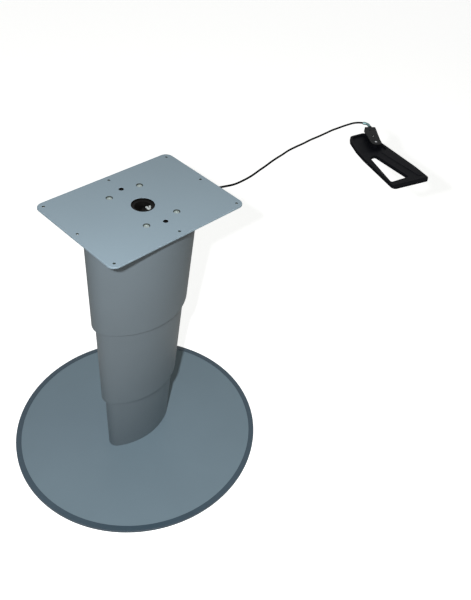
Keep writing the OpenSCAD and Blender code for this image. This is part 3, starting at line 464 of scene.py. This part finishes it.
def rounded_slab(bm, corners, low, high, segments=8):
    """A plate with rounded corners, each of its own radius, between two heights, in an empty mesh."""
    points = [Vector((x, y, low)) for x, y, r in corners]
    verts = [bm.verts.new(p) for p in points]
    bm.faces.new(verts)
    for i, vert in enumerate(verts):
        radius = corners[i][2]
        to_last = (points[i - 1] - points[i]).normalized()
        to_next = (points[(i + 1) % len(points)] - points[i]).normalized()
        half = to_last.angle(to_next) / 2
        bmesh.ops.bevel(
            bm, geom=[vert], offset=radius / tan(half), offset_type="OFFSET", segments=segments,
            profile=0.5, affect="VERTICES", material=-1, clamp_overlap=False,
        )
    made = bmesh.ops.extrude_face_region(bm, geom=bm.faces[:], use_keep_orig=True)
    top = [v for v in made["geom"] if isinstance(v, bmesh.types.BMVert)]
    bmesh.ops.translate(bm, verts=top, vec=(0, 0, high - low))
    bmesh.ops.recalc_face_normals(bm, faces=bm.faces)


def temporary(bm, name):
    """An object of the mesh, for a modifier to work on."""
    mesh = bpy.data.meshes.new(name)
    bmesh.ops.recalc_face_normals(bm, faces=bm.faces)
    bm.to_mesh(mesh)
    bm.free()
    piece = bpy.data.objects.new(name, mesh)
    bpy.context.scene.collection.objects.link(piece)
    return piece


def combined(bm, tool, operation="DIFFERENCE", flatten=True):
    """The mesh with the tool's solids cut out of it, or joined to it, its flat faces joined again."""
    body, other = temporary(bm, "body"), temporary(tool, "tool")
    step = body.modifiers.new("Combine", "BOOLEAN")
    step.operation, step.object, step.solver = operation, other, "EXACT"
    result = bmesh.new()
    result.from_object(body, bpy.context.evaluated_depsgraph_get())
    for piece in (body, other):
        mesh = piece.data
        bpy.data.objects.remove(piece)
        bpy.data.meshes.remove(mesh)
    bmesh.ops.remove_doubles(result, verts=result.verts, dist=WELD)
    if flatten:
        bmesh.ops.dissolve_limit(
            result, angle_limit=FLAT, verts=result.verts, edges=result.edges, delimit={"NORMAL"}
        )
    return result


def drill(bm, x, y, low, high, diameter, top=None, steps=48):
    """A hole's solid; top gives the diameter of a cone up to its upper end."""
    r = diameter / 2
    if top:
        wide = top / 2
        profile = [(r, high - (wide - r)), (wide, high), (wide, high + OVER), (0, high + OVER)]
    else:
        profile = [(r, high), (0, high)]
    turned(bm, [(0, low), (r, low), *profile], Matrix.Translation((x, y, 0)), steps)


def block(bm, low, high):
    """A box between two corners."""
    made = bmesh.ops.create_cube(bm, size=1)["verts"]
    bmesh.ops.scale(bm, vec=[b - a for a, b in zip(low, high)], verts=made)
    bmesh.ops.translate(bm, vec=[(a + b) / 2 for a, b in zip(low, high)], verts=made)
    return made


def inside(face, x, y, diameter):
    """True for a face that lies within a hole."""
    radius = (diameter + PLAY) / 2
    return all((v.co.x - x) ** 2 + (v.co.y - y) ** 2 < radius ** 2 for v in face.verts)


def finish_piece(bm, name, body, materials, replaced):
    """Turns the mesh into a piece that rides on its body and stands for its CAD nodes."""
    bmesh.ops.recalc_face_normals(bm, faces=bm.faces)
    mesh = bpy.data.meshes.new(name)
    bm.to_mesh(mesh)
    bm.free()
    for material in materials:
        mesh.materials.append(bpy.data.materials[material])
    mesh.shade_smooth()
    mesh.set_sharp_from_angle(angle=radians(32))
    piece = bpy.data.objects.new(name, mesh)
    bpy.context.scene.collection.objects.link(piece)
    flat = piece.modifiers.new("Weighted normals", "WEIGHTED_NORMAL")
    flat.mode, flat.keep_sharp = "FACE_AREA", True
    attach(piece, body)
    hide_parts(*replaced)


def painted(node, material):
    """Gives a CAD node its material."""
    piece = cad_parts[node]
    if not piece.material_slots:
        piece.data.materials.append(None)
    for slot in piece.material_slots:
        slot.material = bpy.data.materials[material]


def softened_copy(node, width, segments=2):
    """A merged copy of a CAD node with its edges rounded."""
    bm = bmesh.new()
    bm.from_mesh(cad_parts[node].data)
    bmesh.ops.remove_doubles(bm, verts=bm.verts, dist=LOOSE_WELD)
    bmesh.ops.dissolve_limit(bm, angle_limit=FLAT, verts=bm.verts, edges=bm.edges)
    soften(bm, width, segments)
    return bm


def rounded_node(node, name, width, material, segments=2):
    """A piece of the top stage that is its CAD node with rounded edges."""
    finish_piece(softened_copy(node, width, segments), name, "top_stage", [material], [node])


def handle_place(turn):
    """The place of the handle's pivot, turned about it."""
    sizes = bpy.context.scene.table_handle
    return Matrix.Translation((sizes.pivot_x, sizes.pivot_y, 0)) @ Matrix.Rotation(turn, 4, "Z")


def cover_shell(stage, stations, sizes):
    """A cover: one oval edge loop is carried round the stations of inset and height, back to the first."""
    def half(inset, z):
        grown = tan(sizes.draft) * (z - FLOOR_HIGH.z) + stage * sizes.step - inset
        return sizes.foot_length / 2 + grown, sizes.foot_width / 2 + grown

    bm = bmesh.new()
    here, height = half(*stations[0]), stations[0][1]
    ring = oval_ring(bm, *here, height, sizes)
    for inset, z in stations[1:] + stations[:1]:
        made = bmesh.ops.extrude_edge_only(bm, edges=ring)["geom"]
        verts = {v for v in made if isinstance(v, bmesh.types.BMVert)}
        ring = [e for e in made if isinstance(e, bmesh.types.BMEdge) and verts.issuperset(e.verts)]
        there = half(inset, z)
        bmesh.ops.scale(bm, vec=(there[0] / here[0], there[1] / here[1], 1), verts=list(verts))
        bmesh.ops.translate(bm, vec=(0, 0, z - height), verts=list(verts))
        here, height = there, z
    bmesh.ops.remove_doubles(bm, verts=bm.verts, dist=LOOSE_WELD)
    if not all(edge.is_manifold for edge in bm.edges):
        raise ValueError("a cover is not closed")
    bmesh.ops.recalc_face_normals(bm, faces=bm.faces)
    soften(bm, sizes.rim_round, 3, radians(50))
    return bm


class PEDESTAL_OT_materials(bpy.types.Operator):
    """Makes the finishes and gives the CAD pieces theirs"""

    bl_idname = "pedestal.materials"
    bl_label = "Make the finishes"

    def execute(self, context):
        make_materials(context.scene.table_finishes)
        for material, nodes in NODE_FINISHES.items():
            for node in nodes:
                painted(node, material)
        return {"FINISHED"}


class PEDESTAL_OT_edge_trim(bpy.types.Operator):
    """Makes the trim round the floor plate, with rounded edges"""

    bl_idname = "pedestal.edge_trim"
    bl_label = "Edge trim"

    def execute(self, context):
        sizes = context.scene.table_trim
        outer, high = TRIM_HIGH.x, TRIM_HIGH.z
        bm = bmesh.new()
        turned(bm, [
            (outer - sizes.wall, 0), (outer, 0), (outer, high), (outer - sizes.lip, high),
            (outer - sizes.lip, FLOOR_HIGH.z), (outer - sizes.wall, FLOOR_HIGH.z),
        ], steps=240, closed=True)
        bmesh.ops.recalc_face_normals(bm, faces=bm.faces)
        soften(bm, sizes.edge_round, 3)
        finish_piece(bm, "edge_trim", "base", ["trim_plastic"], ["base_edge_trim"])
        return {"FINISHED"}


def grommet_bore():
    """The solid that cuts the cable's hole through the right-hand end of the top cover."""
    start, reach = 0.1, 0.08
    radius = bpy.context.scene.table_cable.grommet_hole / 2
    place = Matrix.Translation((start, 0, PLATE_HIGH.z - CABLE_DEPTH)) @ Matrix.Rotation(pi / 2, 4, "Y")
    bm = bmesh.new()
    turned(bm, [(0, 0), (radius, 0), (radius, reach), (0, reach)], place)
    return bm


class PEDESTAL_OT_covers(bpy.types.Operator):
    """Makes the three oval, tapered covers of the column"""

    bl_idname = "pedestal.covers"
    bl_label = "Covers"

    def execute(self, context):
        sizes = context.scene.table_covers
        inner, lip = sizes.wall, sizes.wall + sizes.lip
        low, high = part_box("bottom_cover")
        lip_z = low.z + sizes.foot_lip_height
        bottom = cover_shell(0, [
            (0, low.z), (0, high.z), (inner, high.z), (inner, lip_z), (lip, lip_z), (lip, low.z),
        ], sizes)
        finish_piece(bottom, "foot_cover", "base", ["cover_coat"], ["bottom_cover"])
        for stage, node, body in ((1, "middle_cover", "middle_stage"), (2, "top_cover", "top_stage")):
            low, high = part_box(node)
            lip_z = high.z - sizes.lip_height
            shell = cover_shell(stage, [
                (0, low.z), (0, high.z), (lip, high.z), (lip, lip_z), (inner, lip_z), (inner, low.z),
            ], sizes)
            if node == "top_cover":
                shell = combined(shell, grommet_bore(), flatten=False)
            finish_piece(shell, node + "_shell", body, ["cover_coat"], [node])
        return {"FINISHED"}


def head_screw_places(sizes):
    r = sizes.screw_circle / 2
    return [
        (side * r * cos(turn), side * r * sin(turn))
        for turn in (sizes.screw_angle, -sizes.screw_angle) for side in (-1, 1)
    ]


class PEDESTAL_OT_top_plate(bpy.types.Operator):
    """Makes the top plate with its access hole, countersinks and screw holes"""

    bl_idname = "pedestal.top_plate"
    bl_label = "Top plate"

    def execute(self, context):
        sizes = context.scene.table_plate
        x, y, low, high = PLATE_HIGH.x, PLATE_HIGH.y, PLATE_LOW.z, PLATE_HIGH.z
        bm = bmesh.new()
        corners = [(i * x, j * y, sizes.corner) for i, j in ((-1, -1), (1, -1), (1, 1), (-1, 1))]
        rounded_slab(bm, corners, low, high, segments=10)
        soften(bm, sizes.edge_round, 3)

        screws = head_screw_places(sizes)
        spares = [(0, j * sizes.screw_circle / 2) for j in (-1, 1)]
        far_x, far_y = x - sizes.wood_inset, y - sizes.wood_inset
        woods = [(i * far_x, j * far_y) for i in (-1, 0, 1) for j in (-1, 0, 1) if i or j]
        under, chamfer, head = low - OVER, sizes.hole_chamfer, sizes.screw_head + PLAY
        tool = bmesh.new()
        drill(tool, 0, 0, under, high, sizes.access, sizes.access + chamfer, 96)
        for px, py in screws:
            drill(tool, px, py, under, high, sizes.screw_shank + PLAY, head)
        for places, wide in ((spares, sizes.spare_hole), (woods, sizes.wood_hole)):
            for px, py in places:
                drill(tool, px, py, under, high, wide, wide + chamfer)
        bm = combined(bm, tool)

        # Painted shade: the walls of the access hole and of the two open holes take the near-black steel
        # finish, standing for the deep shade inside them.
        black_shade_holes = [(0, 0, sizes.access), *((px, py, sizes.spare_hole) for px, py in spares)]
        # Painted shade: the countersinks round the head screws and the walls of the table-top screw holes
        # take a darker coat, standing for the shade in them.
        shaded = [(px, py, head) for px, py in screws] + [(px, py, sizes.wood_hole) for px, py in woods]
        for face in bm.faces:
            if any(inside(face, *hole) for hole in black_shade_holes):
                face.material_index = 1
            elif any(inside(face, *hole) for hole in shaded):
                face.material_index = 2
        finish_piece(bm, "top_plate_sheet", "top_stage", ["top_coat", "blackened_steel_and_wall_shade", "countersink_shade_coat"],
                     ["top_plate"])
        return {"FINISHED"}


class PEDESTAL_OT_head_screws(bpy.types.Operator):
    """Makes the four countersunk head screws with their sockets"""

    bl_idname = "pedestal.head_screws"
    bl_label = "Head screws"

    def execute(self, context):
        sizes = context.scene.table_plate
        shank, high = sizes.screw_shank / 2, PLATE_HIGH.z - sizes.screw_sink
        head, socket = sizes.screw_head / 2 - sizes.screw_sink, sizes.socket / 2
        floor, edge, narrow = high - sizes.socket_depth, 0.0003, 0.9
        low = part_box("head_screws")[0].z
        bm = bmesh.new()
        for px, py in head_screw_places(sizes):
            turned(bm, [
                (0, floor), (socket * narrow, floor), (socket, high - edge), (socket + edge, high),
                (head - edge, high), (head, high - edge), (shank, high - (head - shank)), (shank, low),
                (0, low),
            ], Matrix.Translation((px, py, 0)), 48)
        finish_piece(bm, "sunk_head_screws", "top_stage", ["screw_coat"], ["head_screws"])
        return {"FINISHED"}


class PEDESTAL_OT_release(bpy.types.Operator):
    """Makes the release lever with the steel tongue that stands up into the access hole"""

    bl_idname = "pedestal.release"
    bl_label = "Release lever"

    def execute(self, context):
        sizes = context.scene.table_release
        bm = softened_copy("release_lever", 0.0003)
        lever = set(bm.faces)
        left, right = sizes.tongue_x - sizes.tongue_width / 2, sizes.tongue_x + sizes.tongue_width / 2
        near, side, into_foot = sizes.tongue_y, sizes.foot_side, 0.002
        foot_high, tongue_high = PLATE_HIGH.z - sizes.foot_top, PLATE_HIGH.z - sizes.tongue_drop
        block(bm, (left, near, foot_high - into_foot), (right, near + sizes.sheet, tongue_high))
        block(bm, (left - side, near, foot_high - sizes.foot_sheet),
              (right + side, sizes.foot_end, foot_high))
        for face in bm.faces:
            if face not in lever:
                face.material_index = 1
        finish_piece(bm, "release_lever_tongue", "release_lever", ["blackened_steel_and_wall_shade", "galvanised_steel"],
                     ["release_lever"])
        return {"FINISHED"}


class PEDESTAL_OT_cable(bpy.types.Operator):
    """Makes the sheathed release cable and its grommet"""

    bl_idname = "pedestal.cable"
    bl_label = "Cable and grommet"

    def execute(self, context):
        sizes = context.scene.table_cable
        high = PLATE_HIGH.z
        route = [Vector((x, y, high - depth)) for x, y, depth in CABLE_POINTS]
        line = bpy.data.curves.new("release_cable", "CURVE")
        line.dimensions = "3D"
        line.bevel_depth = sizes.sheath / 2
        line.bevel_resolution = 5
        line.resolution_u = 6
        line.use_fill_caps = True
        spline = line.splines.new("BEZIER")
        spline.bezier_points.add(len(route) - 1)
        for i, point in enumerate(spline.bezier_points):
            last, after = route[max(i - 1, 0)], route[min(i + 1, len(route) - 1)]
            reach = (after - last) / 6
            point.co = route[i]
            point.handle_left_type = point.handle_right_type = "FREE"
            point.handle_left = route[i] - reach
            point.handle_right = route[i] + reach
        line.materials.append(bpy.data.materials["sheath_vinyl"])
        cable = bpy.data.objects.new("release_cable", line)
        context.scene.collection.objects.link(cable)
        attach(cable, "top_stage")
        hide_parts("bowden_cable")
        rounded_node("cable_grommet", "grommet", 0.0006, "black_nylon", segments=3)
        return {"FINISHED"}


class PEDESTAL_OT_ferrule(bpy.types.Operator):
    """Makes the bent zinc ferrule between the cable and the adjuster"""

    bl_idname = "pedestal.ferrule"
    bl_label = "Ferrule"

    def execute(self, context):
        rounded_node("handle_ferrule", "bent_ferrule", 0.0004, "zinc_plate")
        return {"FINISHED"}


class PEDESTAL_OT_bracket(bpy.types.Operator):
    """Makes the handle's bracket, the cable adjuster, its nut and the pivot's pin and washer"""

    bl_idname = "pedestal.bracket"
    bl_label = "Bracket and adjuster"

    def execute(self, context):
        for node, piece, width in (
            ("handle_bracket", "bracket_sheet", 0.0005), ("cable_adjuster", "adjuster", 0.0002),
            ("adjuster_nut", "lock_nut", 0.0004),
        ):
            rounded_node(node, piece, width, "bracket_coat")
        for node in ("handle_pivot_pin", "handle_pivot_washer"):
            rounded_node(node, node + "_turned", 0.0003, "turned_steel")
        return {"FINISHED"}


def front_wedge(sizes, high):
    """The solid that bevels the lever's front edge."""
    front = max(x for x, y, r in LEVER_CORNERS) * sizes.lever_length
    slope = atan2(sizes.front_drop, sizes.front_run)
    bm = bmesh.new()
    made = block(bm, (0, -sizes.lever_width, 0),
                 (2 * sizes.front_run, sizes.lever_width, sizes.lever_height))
    place = Matrix.Translation((front - sizes.front_run, 0, high)) @ Matrix.Rotation(slope, 4, "Y")
    bmesh.ops.transform(bm, matrix=place, verts=made)
    return bm


def wire_horn(sizes, low):
    """The lever's hub round the pivot pin, with the horn and slot for the wire's end."""
    under = PLATE_HIGH.z - sizes.sheet
    hub_top, horn_top = under - sizes.hub_clear, under - sizes.horn_clear
    hook_z, hook_r, over, gap, reach = PLATE_HIGH.z - HOOK_DEPTH, sizes.horn_radius, 0.001, 0.0003, 0.0025
    hook_low, above = hook_z - sizes.hook_height / 2 - gap, hub_top + over
    half, slot, out = sizes.horn_width / 2, sizes.hook_slot / 2, sizes.horn_radius + sizes.horn_out
    bm, horn = bmesh.new(), bmesh.new()
    drill(bm, 0, 0, low, hub_top, sizes.hub, steps=64)
    block(horn, (-half, 0, low), (half, out, horn_top))
    bm = combined(bm, horn, "UNION")

    bores, way_out, slit = bmesh.new(), bmesh.new(), bmesh.new()
    drill(bores, 0, 0, low - over, above, sizes.pivot + PLAY)
    drill(bores, 0, hook_r, hook_low, above, sizes.hook_slot)
    block(way_out, (-slot, hook_r, hook_low), (slot, out + over, above))
    block(slit, (-half - over, hook_r - reach, hook_z - sizes.slit / 2),
          (0, hook_r + reach, hook_z + sizes.slit / 2))
    for cut in (bores, way_out, slit):
        bm = combined(bm, cut, flatten=False)
    if not all(edge.is_manifold for edge in bm.edges):
        raise ValueError("the lever's hub is not closed")
    soften(bm, 0.0003, 2, radians(60))
    bmesh.ops.transform(bm, matrix=handle_place(sizes.bracket_turn), verts=bm.verts)
    return bm


class PEDESTAL_OT_lever(bpy.types.Operator):
    """Makes the handle lever: a tray with a finger opening, a hub and the wire's horn"""

    bl_idname = "pedestal.lever"
    bl_label = "Handle lever"

    def execute(self, context):
        sizes = context.scene.table_handle
        long, wide = sizes.lever_length, sizes.lever_width
        high = PLATE_HIGH.z - LEVER_TOP_DEPTH
        low, hub_rise = high - sizes.lever_height, 0.0005

        def slab(corners, bottom, top, segments=8):
            bm = bmesh.new()
            rounded_slab(bm, [(x * long, y * wide, r * wide) for x, y, r in corners], bottom, top, segments)
            return bm

        bm = slab(LEVER_CORNERS, low, high)
        bm = combined(bm, slab(OPENING_CORNERS, low - OVER, high + OVER))
        bm = combined(bm, slab(RECESS_CORNERS, high - sizes.recess, high + OVER))
        bm = combined(bm, slab(RIB_CORNERS, high - sizes.rib, high + sizes.rib, segments=6), "UNION")
        bore = bmesh.new()
        drill(bore, 0, 0, low - OVER, high + OVER, sizes.pivot + PLAY)
        bm = combined(bm, bore)
        bm = combined(bm, front_wedge(sizes, high))
        soften(bm, sizes.lever_round, 3)
        bmesh.ops.transform(bm, matrix=handle_place(sizes.lever_turn), verts=bm.verts)
        hub = bpy.data.meshes.new("hub")
        horn = wire_horn(sizes, low + hub_rise)
        horn.to_mesh(hub)
        horn.free()
        bm.from_mesh(hub)
        bpy.data.meshes.remove(hub)
        finish_piece(bm, "lever_tray", "handle_lever", ["handle_plastic"], ["handle_lever"])
        return {"FINISHED"}


class PEDESTAL_OT_stage(bpy.types.Operator):
    """Makes the floor, the light and the camera"""

    bl_idname = "pedestal.stage"
    bl_label = "Floor, light and camera"

    def execute(self, context):
        scene = context.scene
        scene.view_settings.view_transform = "Standard"
        make_floor(scene)
        make_world(scene)
        make_lamps(scene)
        make_camera(scene)
        return {"FINISHED"}


def make_floor(scene):
    """A matt pale floor that shows the camera a white ground and keeps the table's shadow."""
    bm = bmesh.new()
    bmesh.ops.create_grid(bm, x_segments=1, y_segments=1, size=30)
    mesh = bpy.data.meshes.new("floor")
    bm.to_mesh(mesh)
    bm.free()
    material = bpy.data.materials.new("floor_white")
    material.use_nodes = True
    tree = material.node_tree
    shader = tree.nodes.get("Principled BSDF")
    shader.inputs["Base Color"].default_value = (0.82, 0.82, 0.82, 1)
    shader.inputs["Roughness"].default_value = 0.9
    path = tree.nodes.new("ShaderNodeLightPath")
    glow = tree.nodes.new("ShaderNodeEmission")
    glow.inputs["Strength"].default_value = 0.86
    total = tree.nodes.new("ShaderNodeAddShader")
    chosen = tree.nodes.new("ShaderNodeMixShader")
    tree.links.new(shader.outputs["BSDF"], total.inputs[0])
    tree.links.new(glow.outputs["Emission"], total.inputs[1])
    tree.links.new(path.outputs["Is Camera Ray"], chosen.inputs["Fac"])
    tree.links.new(shader.outputs["BSDF"], chosen.inputs[1])
    tree.links.new(total.outputs["Shader"], chosen.inputs[2])
    tree.links.new(chosen.outputs["Shader"], tree.nodes.get("Material Output").inputs["Surface"])
    mesh.materials.append(material)
    floor = bpy.data.objects.new("floor", mesh)
    scene.collection.objects.link(floor)


def make_world(scene):
    """A faint room light; the camera, mirrors and glass see white."""
    world = bpy.data.worlds.new("studio")
    scene.world = world
    world.use_nodes = True
    tree = world.node_tree
    light = tree.nodes.get("Background")
    light.inputs["Color"].default_value = (0.95, 1.0, 0.80, 1)
    light.inputs["Strength"].default_value = 0.05
    white = tree.nodes.new("ShaderNodeBackground")
    white.inputs["Color"].default_value = (1, 1, 1, 1)
    white.inputs["Strength"].default_value = 1.0
    path = tree.nodes.new("ShaderNodeLightPath")
    seen = tree.nodes.new("ShaderNodeMath")
    seen.operation = "MAXIMUM"
    mirrored = tree.nodes.new("ShaderNodeMath")
    mirrored.operation = "MAXIMUM"
    tree.links.new(path.outputs["Is Camera Ray"], seen.inputs[0])
    tree.links.new(path.outputs["Is Glossy Ray"], mirrored.inputs[0])
    tree.links.new(path.outputs["Is Transmission Ray"], mirrored.inputs[1])
    tree.links.new(mirrored.outputs[0], seen.inputs[1])
    mix = tree.nodes.new("ShaderNodeMixShader")
    tree.links.new(seen.outputs[0], mix.inputs["Fac"])
    tree.links.new(light.outputs["Background"], mix.inputs[1])
    tree.links.new(white.outputs["Background"], mix.inputs[2])
    tree.links.new(mix.outputs["Shader"], tree.nodes.get("World Output").inputs["Surface"])


def lamp(scene, name, place, aim, size, power, tint=(1, 1, 1)):
    """A round soft lamp at a place, turned to the point that it lights."""
    light = bpy.data.lights.new(name, "AREA")
    light.shape = "DISK"
    light.size = size
    light.energy = power
    light.color = tint
    holder = bpy.data.objects.new(name, light)
    holder.location = place
    holder.rotation_mode = "QUATERNION"
    holder.rotation_quaternion = (Vector(aim) - Vector(place)).to_track_quat("-Z", "Y")
    scene.collection.objects.link(holder)


def make_lamps(scene):
    """A small flash beside the lens and a wide, weak light from the right."""
    lamp(scene, "key", place=(-0.85, -0.87, 1.64), aim=(0.05, 0, 0.35), size=0.05, power=32)
    lamp(scene, "right_fill", place=(1.3, -1.0, 2.6), aim=(0, 0, 0.4), size=1.2, power=4,
         tint=(0.93, 1.0, 0.80))


def make_camera(scene):
    """The photograph's view: the eye's place, the way it looks, and its roll."""
    eye = Vector((-0.8533, -1.0416, 1.6687))
    heading, drop, roll = radians(36.57), radians(33.87), radians(9.13)
    ahead = Vector((cos(heading) * cos(drop), sin(heading) * cos(drop), -sin(drop)))
    level = Vector((sin(heading), -cos(heading), 0))
    upright = level.cross(ahead)
    right = level * cos(roll) + upright * sin(roll)
    up = upright * cos(roll) - level * sin(roll)
    lens = bpy.data.cameras.new("camera")
    lens.sensor_width = 36
    lens.lens = 46.34
    lens.shift_x = -0.112
    lens.shift_y = -0.171
    camera = bpy.data.objects.new("camera", lens)
    turn = Matrix((right, up, -ahead)).transposed().to_4x4()
    camera.matrix_world = Matrix.Translation(eye) @ turn
    scene.collection.objects.link(camera)
    scene.camera = camera


STEPS = (
    PEDESTAL_OT_materials, PEDESTAL_OT_edge_trim, PEDESTAL_OT_covers, PEDESTAL_OT_top_plate,
    PEDESTAL_OT_head_screws, PEDESTAL_OT_release, PEDESTAL_OT_cable, PEDESTAL_OT_ferrule,
    PEDESTAL_OT_bracket, PEDESTAL_OT_lever, PEDESTAL_OT_stage,
)
SIZES = {
    "table_covers": CoverSizes, "table_plate": PlateSizes, "table_trim": TrimSizes,
    "table_handle": HandleSizes, "table_release": ReleaseSizes, "table_cable": CableSizes,
    "table_finishes": Finishes,
}


class PEDESTAL_PT_sidebar(bpy.types.Panel):
    """Lists the steps of the table and the sizes that they use"""

    bl_idname = "PEDESTAL_PT_sidebar"
    bl_label = "Pedestal table"
    bl_space_type = "VIEW_3D"
    bl_region_type = "UI"
    bl_category = "Pedestal table"

    def draw(self, context):
        for step in STEPS:
            self.layout.operator(step.bl_idname)
        for group in SIZES:
            box = self.layout.box()
            sizes = getattr(context.scene, group)
            for prop in sizes.bl_rna.properties:
                if not prop.is_readonly and prop.identifier != "name":
                    box.prop(sizes, prop.identifier)


def register():
    for kind in (*SIZES.values(), *STEPS, PEDESTAL_PT_sidebar):
        bpy.utils.register_class(kind)
    for name, kind in SIZES.items():
        setattr(bpy.types.Scene, name, PointerProperty(type=kind))


def unregister():
    for name in SIZES:
        delattr(bpy.types.Scene, name)
    for kind in (PEDESTAL_PT_sidebar, *reversed(STEPS), *reversed(SIZES.values())):
        bpy.utils.unregister_class(kind)


def main():
    register()
    bpy.ops.pedestal.materials()
    bpy.ops.pedestal.edge_trim()
    bpy.ops.pedestal.covers()
    bpy.ops.pedestal.top_plate()
    bpy.ops.pedestal.head_screws()
    bpy.ops.pedestal.release()
    bpy.ops.pedestal.cable()
    bpy.ops.pedestal.ferrule()
    bpy.ops.pedestal.bracket()
    bpy.ops.pedestal.lever()
    bpy.ops.pedestal.stage()


if __name__ == "__main__":
    main()
